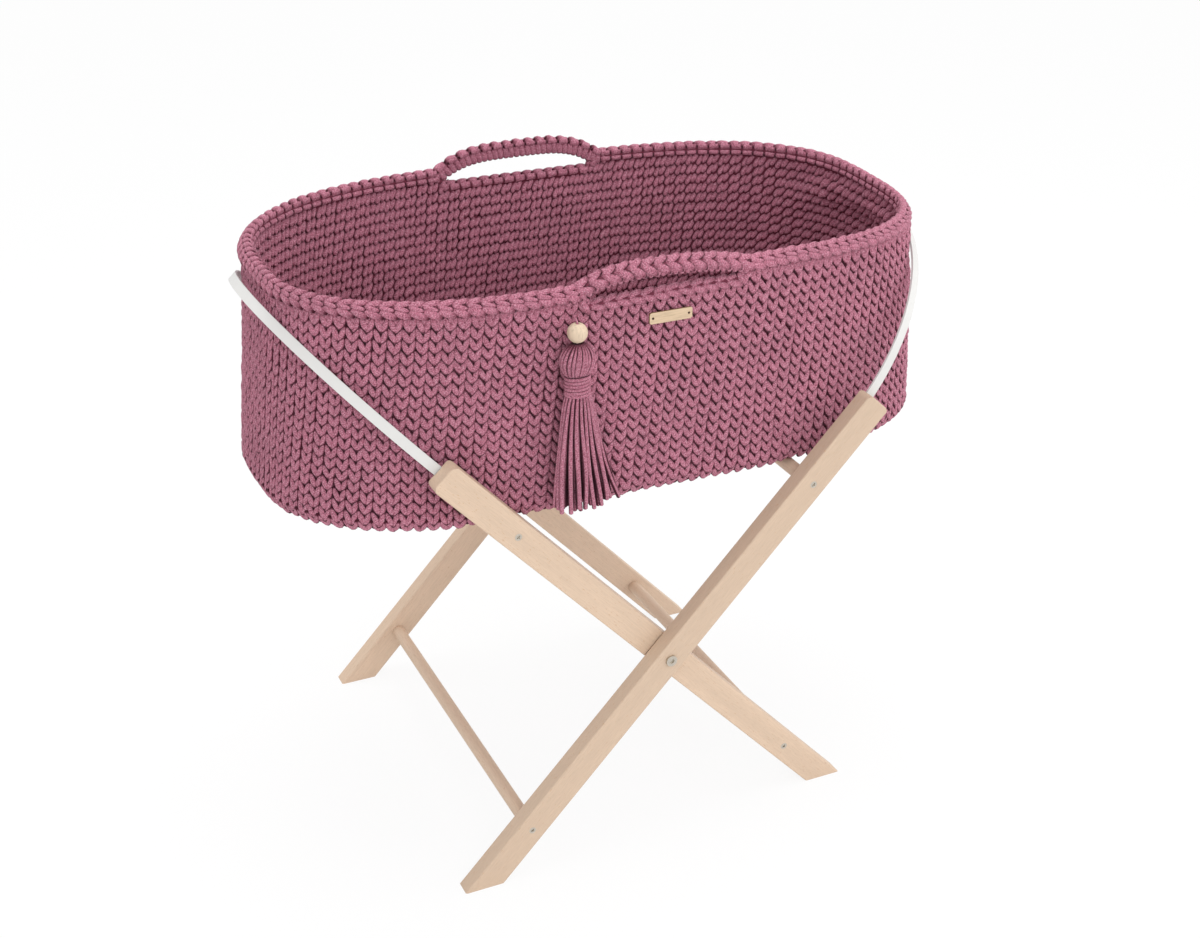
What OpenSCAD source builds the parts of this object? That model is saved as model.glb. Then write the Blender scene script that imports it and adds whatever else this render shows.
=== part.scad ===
// Folding cross-leg stand with a crocheted moses basket resting between its two retaining hoops.
// X runs along the basket, minus Y is the front with the tassel, Z is up from the floor.

/* [Stand] */
// Slope of the open legs above the floor, in degrees
leg_angle = 47; // [44:1:50]
// Height of the pivot above the floor
pivot_height = 243; // [225:1:260]
// Clear width between the inner legs, where the basket sits
clear_width = 393; // [390:1:475]
// Width of a leg, seen from the front
leg_width = 34; // [28:1:40]
// Thickness of a leg, front to back
leg_thick = 21; // [18:0.5:26]
// Distance from the pivot to the top end of a leg
leg_reach = 365; // [340:1:380]
// Rounding of the two corners at the top end of a leg
leg_corner = 7; // [3:0.5:10]
// Rounding along the long edges of a leg
leg_ease = 2; // [1:0.5:4]

/* [Dowels] */
// Diameter of the cross dowels
dowel_dia = 16; // [12:0.5:18]
// Distance from the pivot to an upper dowel, along the leg
upper_dowel_reach = 250; // [240:1:262]
// Distance from the pivot to a lower dowel, along the leg
lower_dowel_reach = 247; // [200:1:262]
// Depth that a dowel is let into the leg
dowel_seat = 9; // [6:0.5:12]

/* [Hoops] */
// Width of the flat hoop strip
hoop_width = 11; // [8:0.5:14]
// Thickness of the hoop strip
hoop_thick = 2.5; // [2:0.25:4]
// Distance from the pivot to the crown of the hoop
hoop_peak = 568; // [566:1:600]
// Distance from the pivot to where the hoop starts to bend
hoop_spring = 330; // [315:1:340]
// Length of straight strip housed in the leg below the bend
hoop_tail = 45; // [36:1:50]

/* [Hardware] */
// Shank diameter of the frame screws
screw_dia = 4; // [3:0.5:5]
// Head diameter of the frame screws
screw_head_dia = 8; // [7:0.5:10]
// Length of the frame screws
screw_length = 40; // [25:1:60]
// Shank diameter of the hoop screws
hoop_screw_dia = 3; // [2.5:0.5:3.5]
// Head diameter of the hoop screws
hoop_screw_head_dia = 6; // [5:0.5:7]
// Length of the hoop screws
hoop_screw_length = 14; // [10:1:16]
// Shoulder diameter of the pivot bolt
bolt_dia = 8; // [6:0.5:10]
// Head diameter of the pivot bolt
bolt_head_dia = 13; // [12:0.5:18]
// Thickness of the pivot bolt's head
bolt_head_height = 2.5; // [2:0.25:4]
// Diameter of the washer between the crossing legs
washer_dia = 20; // [14:1:26]
// Thickness of that washer
washer_thick = 1.2; // [0.8:0.1:2.5]

/* [Straps] */
// Width of a webbing strap
strap_width = 30; // [20:1:40]
// Thickness of the webbing
strap_thick = 1.6; // [1:0.1:2.5]
// Distance of each strap from the middle of the stand
strap_offset = 100; // [50:1:130]
// Length of webbing sewn back under each strap's loop
strap_tail = 45; // [30:1:70]

/* [Basket] */
// Half length of the basket's foot
base_half_length = 392; // [320:1:393]
// Half width of the basket's foot
base_half_width = 202; // [180:1:203]
// Half length of the wall at the rim
top_half_length = 373; // [340:1:374]
// Half width of the wall at the rim
top_half_width = 209; // [180:1:215]
// Height from the basket's underside to the top of the wall
wall_height = 238; // [200:1:280]
// Thickness of the crocheted wall and base
wall_thick = 12; // [8:0.5:16]
// Rounding of the bottom edge
foot_round = 25; // [18:1:40]
// Diameter of the rim braid
braid_dia = 14; // [12:0.5:17]
// Length of a handle along the rim
handle_length = 200; // [140:1:240]
// Height that the front handle's middle stands above the rim
front_handle_rise = 14; // [8:0.5:40]
// Height that the rear handle's middle stands above the rim
rear_handle_rise = 20; // [8:0.5:40]
// How far the wall's top edge dips under a handle
handle_dip = 11; // [0:0.5:16]
// Extra radius of the braid at a handle's middle
handle_swell = 2.5; // [0:0.5:4]

/* [Trim] */
// Length of the wooden tag
tag_length = 49; // [30:1:70]
// Height of the wooden tag
tag_height = 12.5; // [9:0.5:20]
// Thickness of the wooden tag
tag_thick = 2.4; // [1.5:0.1:4]
// Height of the tag's middle above the basket's underside
tag_level = 205; // [150:1:215]
// Distance of the tag's middle from the basket's, towards plus X
tag_offset = 4; // [-30:1:100]
// Distance of the tassel from the basket's middle, towards minus X
tassel_offset = 105; // [70:1:125]
// Height of the bead's middle above the basket's underside
bead_level = 208; // [190:1:212]
// Diameter of the wooden bead
bead_dia = 21; // [15:0.5:24]
// Width of the tassel's head
tassel_head_width = 38; // [26:1:44]
// Height of the tassel's head
tassel_head_height = 37; // [30:1:46]
// Depth of the tassel's head, front to back
tassel_depth = 27; // [18:1:32]
// Width of the wrapped band below the head
tassel_band_width = 30; // [26:1:34]
// Height of that band
tassel_band_height = 20; // [10:1:26]
// Turns of cord in that band
wrap_turns = 4; // [3:1:6]
// Length of the strands below the band
strand_length = 128; // [80:1:134]
// Diameter of a strand
strand_dia = 4.5; // [3:0.1:4.6]
// Width of the strands where they end
skirt_width = 72; // [45:1:90]
// Strands in the outer and in the inner ring of the skirt
strand_counts = [12, 5]; // [3:1:12]

/* [Hidden] */
$fn = 48;

// Clearances: between pieces that are fastened together, in a turning fit, and between loose pieces
seat_gap = 0.05;
turn_gap = 0.05;
free_gap = 0.3;
// How far a cut runs past the face that it opens
overrun = 1;

// Legs: the inner frame folds inside the outer one, with a washer between each crossing pair
outer_angle = leg_angle;
inner_angle = 180 - leg_angle;
inner_inside = clear_width / 2;
inner_mid = inner_inside + leg_thick / 2;
outer_inside = inner_inside + leg_thick + free_gap + washer_thick;
outer_mid = outer_inside + leg_thick / 2;
outer_face = outer_inside + leg_thick;
dowel_r = dowel_dia / 2;

// Screws: countersunk heads at the usual right angle, with a cross recess
screw_sink = (screw_head_dia - screw_dia) / 2;
hoop_screw_sink = (hoop_screw_head_dia - hoop_screw_dia) / 2;
recess_length_share = 0.55;
recess_width_share = 0.14;
recess_depth_share = 0.8;
// Bolts: a shoulder through both legs, then a thread that takes the nut
hex_share = 0.42;
hex_depth_share = 0.7;
thread_share = 0.75;
nut_share = 0.9;
nut_chamfer_share = 0.2;
thread_dia = bolt_dia * thread_share;
nut_height = bolt_dia * nut_share;
nut_chamfer = nut_height * nut_chamfer_share;

// The straps lie over the upper dowels and carry the basket
upper_dowel_x = upper_dowel_reach * cos(leg_angle);
upper_dowel_z = pivot_height + upper_dowel_reach * sin(leg_angle);
strap_inner_r = dowel_r + free_gap;
strap_outer_r = strap_inner_r + strap_thick;
basket_floor = upper_dowel_z + strap_outer_r + free_gap;

// Basket outlines: flat-sided ovals, squarer at the rim than at the foot
base_square = 2.95;
top_square = 2.84;
outline_points = 80;
fillet_steps = 4;
wall_steps = 5;
braid_r = braid_dia / 2;
braid_sides = 8;
rim_steps = 28;
handle_steps = 20;
arch_power = 2.5;
dip_power = 6;
wall_top = basket_floor + wall_height;
rim_level = wall_top + seat_gap + braid_r * cos(180 / braid_sides);
rim_half_length = top_half_length - wall_thick / 2;
rim_half_width = top_half_width - wall_thick / 2;
handle_angle = atan(handle_length / 2 / rim_half_width);

// Trim on the front wall
tag_corner_share = 0.2;
tag_hole_share = 0.1;
tag_hole_inset_share = 0.32;
tag_corner = tag_height * tag_corner_share;
tag_hole_r = tag_height * tag_hole_share;
tag_hole_inset = tag_height * tag_hole_inset_share;
tag_z = basket_floor + tag_level;
bead_z = basket_floor + bead_level;
bead_flat_share = 0.92;
cord_r = 2;
cord_hang = 4;
cord_top = bead_z + bead_dia / 2 + cord_hang;
neck_gap = 1;
head_top = bead_z - bead_dia * bead_flat_share / 2 - neck_gap;
band_top = head_top - tassel_head_height;
skirt_top = band_top - tassel_band_height;
// The band is one cord wound round the neck of the head, its turns lying beside each other
wrap_gap = 0.5;
wrap_pitch = (tassel_band_height - 2 * seat_gap + wrap_gap) / (wrap_turns + 1);
wrap_dia = wrap_pitch - wrap_gap;
wrap_steps = 24;
wrap_sides = 6;
head_sides = 24;
head_steps = 8;
top_share = 0.3;
swell_power = 0.7;
tassel_y = -(wall_y(tassel_offset, bead_level) + free_gap + tassel_depth / 2);
swing_y = -(wall_y(tassel_offset, cord_top - basket_floor) + free_gap + cord_r);
band_depth_share = 0.85;
skirt_depth_share = 0.78;
ring_top_shares = [0.78, 0.36];
ring_end_shares = [1, 0.5];

// Flat-sided oval: the distance from its middle to its outline in direction turn
function oval_r(turn, half_length, half_width, square) =
    pow(pow(abs(cos(turn)) / half_length, square) + pow(abs(sin(turn)) / half_width, square), -1 / square);
function oval_point(turn, half_length, half_width, square) =
    oval_r(turn, half_length, half_width, square) * [cos(turn), sin(turn)];
function oval(half_length, half_width, square) =
    [for (i = [0:outline_points - 1]) oval_point(360 * i / outline_points, half_length, half_width, square)];

// Outline of the basket wall at a height above its underside, drawn in by inset.
// Its top edge dips under the handles.
function blend_to_top(low, high, level) = low + (high - low) * level / wall_height;
function dip_share(turn) =
    let (away = min(abs(turn - 90), abs(turn - 270)) / handle_angle)
    max(0, 1 - pow(away, dip_power));
function wall_point(turn, inset, level) =
    let (half_length = blend_to_top(base_half_length, top_half_length, level) - inset)
    let (half_width = blend_to_top(base_half_width, top_half_width, level) - inset)
    let (p = oval_point(turn, half_length, half_width, blend_to_top(base_square, top_square, level)))
    [p.x, p.y, basket_floor + level];
function wall_ring(inset, level) =
    let (dip = level > wall_height - seat_gap ? handle_dip : 0)
    [for (i = [0:outline_points - 1])
        let (turn = 360 * i / outline_points)
        wall_point(turn, inset, level - dip * dip_share(turn))];
// Half width of the wall's outer face at a distance along the basket
function wall_y(along, level) =
    let (half_length = blend_to_top(base_half_length, top_half_length, level))
    let (half_width = blend_to_top(base_half_width, top_half_width, level))
    let (square = blend_to_top(base_square, top_square, level))
    half_width * pow(1 - pow(along / half_length, square), 1 / square);

// Rim braid: an upright section carried round the rim, lifted into an arch over each handle
function rim_point(turn) = oval_point(turn, rim_half_length, rim_half_width, top_square);
function rim_inward(turn) =
    let (step = 0.01)
    let (along = rim_point(turn + step) - rim_point(turn - step))
    [-along.y, along.x] / norm(along);
function braid_ring(turn, lift, r) =
    let (middle = rim_point(turn))
    let (inward = rim_inward(turn))
    [for (i = [0:braid_sides - 1])
        let (around = 360 * (i + 0.5) / braid_sides)
        [middle.x + r * cos(around) * inward.x,
         middle.y + r * cos(around) * inward.y,
         rim_level + lift + r * sin(around)]];
function arch(share) = 1 - pow(abs(share), arch_power);

// Centre line of the wound band, from the back of the tassel's neck and up round it
band_half_width = tassel_band_width / 2;
band_half_depth = tassel_depth / 2 * band_depth_share;
neck_half_width = band_half_width - wrap_dia - free_gap;
neck_half_depth = band_half_depth - wrap_dia - free_gap;
function wrap_point(step) =
    let (turn = 90 + 360 * step / wrap_steps)
    [(band_half_width - wrap_dia / 2) * cos(turn) - tassel_offset,
     (band_half_depth - wrap_dia / 2) * sin(turn) + tassel_y,
     skirt_top + seat_gap + wrap_dia / 2 + wrap_pitch * step / wrap_steps];
function wrap_along(step) =
    let (way = wrap_point(step + 1) - wrap_point(step - 1))
    [way.x, way.y, 0] / norm([way.x, way.y]);
function tube_ring(point, along, r, sides) =
    [for (i = [0:sides - 1])
        let (around = 360 * i / sides)
        point + r * (cos(around) * [-along.y, along.x, 0] + sin(around) * [0, 0, 1])];

// Least gap between neighbouring turns of the wound band
wrap_line = [for (step = [0:wrap_turns * wrap_steps]) wrap_point(step)];
wrap_least_gap = min([for (i = [0:len(wrap_line) - 1]) for (j = [0:i]) if (i - j > wrap_steps / 2)
    norm(wrap_line[i] - wrap_line[j])]) - wrap_dia;
echo(wrap_least_gap = wrap_least_gap);

// Skin between rings of points, closed on itself or capped at both ends
function skin_faces(rings, sides, wrap) =
    [for (k = [0:(wrap ? rings : rings - 1) - 1]) for (j = [0:sides - 1])
        let (next = (k + 1) % rings, side = (j + 1) % sides)
        let (a = k * sides + j, b = k * sides + side, c = next * sides + side, d = next * sides + j)
        each [[a, d, c], [a, c, b]]];
function cap_faces(rings, sides) =
    let (last = (rings - 1) * sides)
    [for (j = [1:sides - 2]) each [[0, j, j + 1], [last, last + j + 1, last + j]]];

module skin(rings, wrap = false) {
    sides = len(rings[0]);
    caps = wrap ? [] : cap_faces(len(rings), sides);
    polyhedron([for (ring = rings) each ring], concat(skin_faces(len(rings), sides, wrap), caps));
}

// Stands a leg frame at its slope: along the leg becomes +X, across it becomes Z
module at_pivot(angle) {
    translate([0, 0, pivot_height]) rotate([0, -angle, 0]) children();
}

// Cylinder, or cone, that starts at a distance from the middle plane and runs outwards along +Y
module outward(along, from, length, r, end_r) {
    translate([along, from, 0]) rotate([-90, 0, 0])
        cylinder(h = length, r1 = r, r2 = is_undef(end_r) ? r : end_r);
}

module both_sides() {
    children();
    mirror([0, 1, 0]) children();
}

module rounded_rectangle(size, r) {
    square([size.x - 2 * r, size.y], center = true);
    square([size.x, size.y - 2 * r], center = true);
    for (x = [-1, 1], y = [-1, 1]) translate([x * (size.x / 2 - r), y * (size.y / 2 - r)]) circle(r);
}

// Where the floor cuts a leg, at a distance across it
function foot_cut(across, angle) = -(pivot_height + across * cos(angle)) / sin(angle);

// Face of a leg: level foot, and two round corners at the top end
module leg_face(angle) {
    half = leg_width / 2;
    shoulder = leg_reach - leg_corner;
    polygon([[foot_cut(-half, angle), -half], [shoulder, -half], [shoulder, half],
             [foot_cut(half, angle), half]]);
    translate([0, -half + leg_corner]) square([leg_reach, leg_width - 2 * leg_corner]);
    for (side = [-1, 1]) translate([shoulder, side * (half - leg_corner)]) circle(leg_corner);
}

// Leg bar with its long edges and its top end rounded over
module leg_bar(angle) {
    length = 2 * (leg_reach + leg_width);
    intersection() {
        rotate([90, 0, 0]) linear_extrude(leg_thick, center = true) leg_face(angle);
        rotate([0, 90, 0]) linear_extrude(length, center = true)
            rounded_rectangle([leg_width, leg_thick], leg_ease);
        linear_extrude(leg_width + overrun, center = true) translate([leg_reach - length / 2, 0])
            rounded_rectangle([length, leg_thick], leg_ease);
    }
}

// Blind seat for a dowel, with the screw hole and its countersink beyond it
module dowel_holes(along, inside) {
    face = inside + leg_thick;
    outward(along, inside - overrun, dowel_seat + overrun, dowel_r + seat_gap);
    outward(along, inside, leg_thick + overrun, screw_dia / 2 + seat_gap);
    outward(along, face - screw_sink, screw_sink, screw_dia / 2 + seat_gap, screw_head_dia / 2 + seat_gap);
}

// Places of the two hoop screws along the leg
function hoop_screw_places() =
    let (margin = hoop_screw_head_dia)
    [hoop_spring - hoop_tail + margin, hoop_spring - margin];

// Groove in the leg's inner face that houses the hoop's tail, open at the top end
module hoop_groove(inside) {
    length = leg_reach + overrun - hoop_spring + hoop_tail;
    depth = hoop_thick + seat_gap;
    translate([hoop_spring - hoop_tail - seat_gap, inside - overrun, -hoop_width / 2 - seat_gap])
        cube([length, depth + overrun, hoop_width + 2 * seat_gap]);
    for (along = hoop_screw_places())
        outward(along, inside, hoop_screw_length + free_gap, hoop_screw_dia / 2 + seat_gap);
}

// Rear leg of a frame, standing at mid from the middle plane
module leg(angle, mid) {
    inside = mid - leg_thick / 2;
    difference() {
        translate([0, mid, 0]) leg_bar(angle);
        dowel_holes(upper_dowel_reach, inside);
        dowel_holes(-lower_dowel_reach, inside);
        outward(0, inside - overrun, leg_thick + 2 * overrun, bolt_dia / 2 + turn_gap);
        hoop_groove(inside);
    }
}

module dowel(along, inside) {
    half = inside + dowel_seat;
    bite = screw_length - (leg_thick - dowel_seat) + free_gap;
    difference() {
        translate([along, 0, 0]) rotate([90, 0, 0]) cylinder(h = 2 * half, r = dowel_r, center = true);
        both_sides() outward(along, half - bite, bite + overrun, screw_dia / 2 + seat_gap);
    }
}

// Countersunk screw whose head is flush with a face and whose shank points to the middle plane
module screw(along, face, length, dia, head_dia) {
    sink = (head_dia - dia) / 2;
    recess = head_dia * recess_length_share;
    slot = head_dia * recess_width_share;
    depth = sink * recess_depth_share;
    difference() {
        union() {
            outward(along, face - length, length - sink, dia / 2);
            outward(along, face - sink, sink, dia / 2, head_dia / 2);
        }
        for (turn = [0, 90]) translate([along, face, 0]) rotate([0, turn, 0])
            cube([recess, 2 * depth, slot], center = true);
    }
}

module frame_screws(inside) {
    both_sides() for (along = [upper_dowel_reach, -lower_dowel_reach])
        screw(along, inside + leg_thick, screw_length, screw_dia, screw_head_dia);
}

// Hoop screws point outwards, so each is a frame screw turned about the leg's axis
module hoop_screws(inside) {
    both_sides() for (along = hoop_screw_places())
        translate([0, inside, 0]) rotate([180, 0, 0])
            screw(along, 0, hoop_screw_length, hoop_screw_dia, hoop_screw_head_dia);
}

// Edge of the hoop strip: half an ellipse above the spring line, side is +1 outside and -1 inside
function hoop_edge(turn, half, side) =
    let (rise = hoop_peak - hoop_spring)
    let (normal = [half * sin(turn), rise * cos(turn)])
    [hoop_spring + rise * sin(turn), half * cos(turn)] + side * hoop_thick / 2 * normal / norm(normal);

module hoop(inside) {
    half = inside + hoop_thick / 2;
    bends = 48;
    turns = [for (i = [0:bends]) 180 * i / bends];
    foot = hoop_spring - hoop_tail;
    outer = [for (turn = turns) hoop_edge(turn, half, 1)];
    inner = [for (i = [bends:-1:0]) hoop_edge(turns[i], half, -1)];
    far = half + hoop_thick / 2;
    near = half - hoop_thick / 2;
    difference() {
        linear_extrude(hoop_width, center = true)
            polygon(concat([[foot, far]], outer, [[foot, -far], [foot, -near]], inner, [[foot, near]]));
        both_sides() for (along = hoop_screw_places()) {
            outward(along, inside - overrun, hoop_thick + 2 * overrun, hoop_screw_dia / 2 + seat_gap);
            outward(along, inside, hoop_screw_sink, hoop_screw_head_dia / 2 + seat_gap,
                    hoop_screw_dia / 2 + seat_gap);
        }
    }
}

// Shoulder bolt through a crossing pair of legs, its socket head on the outer leg
module pivot_bolt() {
    shoulder_end = inner_inside - free_gap;
    hex_r = bolt_head_dia * hex_share / 2 / cos(30);
    difference() {
        union() {
            outward(0, outer_face, bolt_head_height, bolt_head_dia / 2);
            outward(0, shoulder_end, outer_face - shoulder_end, bolt_dia / 2);
            outward(0, shoulder_end - nut_height, nut_height, thread_dia / 2);
        }
        translate([0, outer_face + bolt_head_height * (1 - hex_depth_share), 0]) rotate([-90, 0, 0])
            cylinder(h = bolt_head_height, r = hex_r, $fn = 6);
    }
}

module pivot_nut() {
    seat = inner_inside - free_gap;
    r = bolt_head_dia / 2;
    difference() {
        union() {
            outward(0, seat - nut_height + nut_chamfer, nut_height - nut_chamfer, r);
            outward(0, seat - nut_height, nut_chamfer, r - nut_chamfer, r);
        }
        outward(0, seat - nut_height - overrun, nut_height + 2 * overrun, thread_dia / 2 + seat_gap);
    }
}

module pivot_washer() {
    difference() {
        outward(0, outer_inside - washer_thick, washer_thick, washer_dia / 2);
        outward(0, outer_inside - washer_thick - overrun, washer_thick + 2 * overrun,
                bolt_dia / 2 + turn_gap);
    }
}

// Webbing band over both upper dowels, with a loop round each and its end sewn back underneath
module strap() {
    rotate([90, 0, 0]) linear_extrude(strap_width, center = true) translate([0, upper_dowel_z]) {
        translate([-upper_dowel_x, strap_inner_r]) square([2 * upper_dowel_x, strap_thick]);
        for (side = [-1, 1]) {
            tail_start = sqrt(pow(strap_outer_r, 2) - pow(strap_inner_r - strap_thick / 2, 2));
            translate([side * upper_dowel_x, 0]) difference() {
                circle(strap_outer_r);
                circle(strap_inner_r);
            }
            translate([side * (upper_dowel_x - tail_start - strap_tail / 2), strap_inner_r - strap_thick / 2])
                square([strap_tail, strap_thick], center = true);
        }
    }
}

module wall_shell() {
    inner_round = foot_round - wall_thick;
    outside = [for (i = [0:fillet_steps])
        let (turn = 90 * i / fillet_steps)
        [foot_round * (1 - sin(turn)), foot_round * (1 - cos(turn))]];
    straight = wall_height - foot_round;
    rise = [for (i = [1:wall_steps]) [0, foot_round + straight * i / wall_steps]];
    drop = [for (i = [wall_steps:-1:1]) [wall_thick, foot_round + straight * i / wall_steps]];
    inside = [for (i = [fillet_steps:-1:0])
        let (turn = 90 * i / fillet_steps)
        [foot_round - inner_round * sin(turn), foot_round - inner_round * cos(turn)]];
    skin([for (p = concat(outside, rise, drop, inside)) wall_ring(p.x, p.y)], wrap = true);
}

module braid_stretch(from, to, steps, height = 0) {
    skin([for (i = [0:steps])
        let (rise = height > 0 ? arch(2 * i / steps - 1) : 0)
        braid_ring(from + (to - from) * i / steps, height * rise, braid_r + handle_swell * rise)]);
}

// Ring of an oval piece of the tassel, at a height
function tassel_ring(half_width, half_depth, z) =
    [for (i = [0:head_sides - 1])
        let (turn = 360 * i / head_sides)
        [-tassel_offset + half_width * cos(turn), tassel_y + half_depth * sin(turn), z]];

// Strand that leaves the band at one place and ends at another, spread out below
module strand(top, end) {
    run = end - top;
    lean = atan2(norm([run.x, run.y]), -run.z);
    tilt_drop = strand_dia / 2 * sin(lean);
    translate(top - [0, 0, tilt_drop]) rotate([0, 0, atan2(run.y, run.x)]) rotate([0, 180 - lean, 0])
        cylinder(h = norm(run), d = strand_dia, $fn = 16);
}

module beech() { color([0.89, 0.78, 0.66]) children(); }
module white_metal() { color([0.95, 0.94, 0.92]) children(); }
module nickel() { color([0.72, 0.69, 0.64]) children(); }
module webbing() { color([0.92, 0.89, 0.83]) children(); }
module crochet() { color([0.66, 0.37, 0.48]) children(); }

module outer_leg_front() { beech() at_pivot(outer_angle) mirror([0, 1, 0]) leg(outer_angle, outer_mid); }
module outer_leg_rear() { beech() at_pivot(outer_angle) leg(outer_angle, outer_mid); }
module outer_upper_dowel() { beech() at_pivot(outer_angle) dowel(upper_dowel_reach, outer_inside); }
module outer_lower_dowel() { beech() at_pivot(outer_angle) dowel(-lower_dowel_reach, outer_inside); }
module outer_hoop() { white_metal() at_pivot(outer_angle) hoop(outer_inside); }
module outer_screws() { nickel() at_pivot(outer_angle) frame_screws(outer_inside); }
module outer_hoop_screws() { white_metal() at_pivot(outer_angle) hoop_screws(outer_inside); }

module inner_leg_front() { beech() at_pivot(inner_angle) mirror([0, 1, 0]) leg(inner_angle, inner_mid); }
module inner_leg_rear() { beech() at_pivot(inner_angle) leg(inner_angle, inner_mid); }
module inner_upper_dowel() { beech() at_pivot(inner_angle) dowel(upper_dowel_reach, inner_inside); }
module inner_lower_dowel() { beech() at_pivot(inner_angle) dowel(-lower_dowel_reach, inner_inside); }
module inner_hoop() { white_metal() at_pivot(inner_angle) hoop(inner_inside); }
module inner_screws() { nickel() at_pivot(inner_angle) frame_screws(inner_inside); }
module inner_hoop_screws() { white_metal() at_pivot(inner_angle) hoop_screws(inner_inside); }

module pivot_bolts() { nickel() at_pivot(0) both_sides() pivot_bolt(); }
module pivot_washers() { color([0.9, 0.9, 0.88]) at_pivot(0) both_sides() pivot_washer(); }
module pivot_nuts() { nickel() at_pivot(0) both_sides() pivot_nut(); }
module strap_front() { webbing() translate([0, -strap_offset, 0]) strap(); }
module strap_rear() { webbing() translate([0, strap_offset, 0]) strap(); }

module basket_base() {
    inset = foot_round + free_gap;
    half_length = min(base_half_length, blend_to_top(base_half_length, top_half_length, wall_thick));
    half_width = min(base_half_width, blend_to_top(base_half_width, top_half_width, wall_thick));
    square = min(base_square, blend_to_top(base_square, top_square, wall_thick));
    crochet() translate([0, 0, basket_floor]) linear_extrude(wall_thick)
        polygon(oval(half_length - inset, half_width - inset, square));
}

module basket_wall() { crochet() wall_shell(); }
module rim_left() { crochet() braid_stretch(90 + handle_angle, 270 - handle_angle, rim_steps); }
module rim_right() { crochet() braid_stretch(handle_angle - 90, 90 - handle_angle, rim_steps); }
module front_handle() {
    crochet() braid_stretch(270 - handle_angle, 270 + handle_angle, handle_steps, front_handle_rise);
}
module rear_handle() {
    crochet() braid_stretch(90 - handle_angle, 90 + handle_angle, handle_steps, rear_handle_rise);
}

// Tag against the crests of the front wall, with a hole at each end
module tag() {
    back = wall_y(0, tag_level) + free_gap;
    color([0.91, 0.82, 0.66]) translate([tag_offset, 0, 0]) difference() {
        translate([0, -back, tag_z]) rotate([90, 0, 0]) linear_extrude(tag_thick)
            rounded_rectangle([tag_length, tag_height], tag_corner);
        for (side = [-1, 1]) translate([side * (tag_length / 2 - tag_hole_inset), -back + overrun, tag_z])
            rotate([90, 0, 0]) cylinder(h = tag_thick + 2 * overrun, r = tag_hole_r);
    }
}

// Threads that hold the tag: each runs from the wall through a hole
module tag_threads() {
    back = wall_y(0, tag_level) + free_gap;
    color([0.3, 0.2, 0.2]) for (side = [-1, 1])
        translate([tag_offset + side * (tag_length / 2 - tag_hole_inset), -back, tag_z])
            rotate([90, 0, 0]) cylinder(h = tag_thick, r = tag_hole_r - seat_gap);
}

// Cord that leaves the wall above the bead, turns down and carries the tassel, which swings at its round end
module tassel_cord() {
    crochet() translate([-tassel_offset, tassel_y, 0]) {
        translate([0, 0, head_top]) cylinder(h = cord_top - head_top, r = cord_r);
        translate([0, 0, cord_top]) sphere(cord_r);
        translate([0, 0, cord_top]) rotate([-90, 0, 0]) cylinder(h = swing_y - tassel_y, r = cord_r);
        translate([0, swing_y - tassel_y, cord_top]) sphere(cord_r);
    }
}

module bead() {
    flat = bead_dia * bead_flat_share;
    color([0.9, 0.82, 0.7]) translate([-tassel_offset, tassel_y, bead_z]) difference() {
        intersection() {
            sphere(d = bead_dia);
            cube([bead_dia + overrun, bead_dia + overrun, flat], center = true);
        }
        cylinder(h = bead_dia + overrun, r = cord_r + seat_gap, center = true);
    }
}

// Head of looped strands: a knob that narrows to the cord above, and its neck inside the band below
module tassel_head() {
    waist = tassel_band_width / tassel_head_width;
    neck = [for (z = [skirt_top, band_top]) tassel_ring(neck_half_width, neck_half_depth, z)];
    knob = [for (i = [0:head_steps])
        let (share = i / head_steps)
        let (swell = sin(180 * share))
        let (ends = waist + (top_share - waist) * share)
        let (girth = ends + (1 - ends) * pow(swell, swell_power))
        tassel_ring(tassel_head_width / 2 * girth, tassel_depth / 2 * girth,
                    band_top + (tassel_head_height - seat_gap) * share)];
    crochet() skin(concat(neck, knob));
}

// One unbroken cord, with a straight end of one diameter at the back
module tassel_band() {
    last = wrap_turns * wrap_steps;
    start = wrap_point(0) - wrap_dia * wrap_along(0);
    end = wrap_point(last) + wrap_dia * wrap_along(last);
    crochet() skin(concat(
        [tube_ring(start, wrap_along(0), wrap_dia / 2, wrap_sides)],
        [for (step = [0:last]) tube_ring(wrap_point(step), wrap_along(step), wrap_dia / 2, wrap_sides)],
        [tube_ring(end, wrap_along(last), wrap_dia / 2, wrap_sides)]));
}

module tassel_skirt() {
    crochet() for (ring = [0:len(strand_counts) - 1]) for (i = [0:strand_counts[ring] - 1]) {
        turn = 360 * (i + 0.5) / strand_counts[ring];
        top = [band_half_width * cos(turn), band_half_depth * sin(turn), 0];
        end = [(skirt_width - strand_dia) * cos(turn), tassel_depth * skirt_depth_share * sin(turn), 0] / 2;
        translate([-tassel_offset, tassel_y, skirt_top - seat_gap])
            strand(top * ring_top_shares[ring], end * ring_end_shares[ring] - [0, 0, strand_length]);
    }
}

outer_leg_front();
outer_leg_rear();
outer_upper_dowel();
outer_lower_dowel();
outer_hoop();
outer_screws();
outer_hoop_screws();
inner_leg_front();
inner_leg_rear();
inner_upper_dowel();
inner_lower_dowel();
inner_hoop();
inner_screws();
inner_hoop_screws();
pivot_bolts();
pivot_washers();
pivot_nuts();
strap_front();
strap_rear();
basket_base();
basket_wall();
rim_left();
rim_right();
front_handle();
rear_handle();
tag();
tag_threads();
tassel_cord();
bead();
tassel_head();
tassel_band();
tassel_skirt();
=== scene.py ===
import random
from math import asin, atan2, copysign, cos, exp, hypot, pi, radians, sin, sqrt, tau

import bmesh
import bpy
import numpy as np
from bmesh import ops
from mathutils import Matrix, Vector


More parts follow.
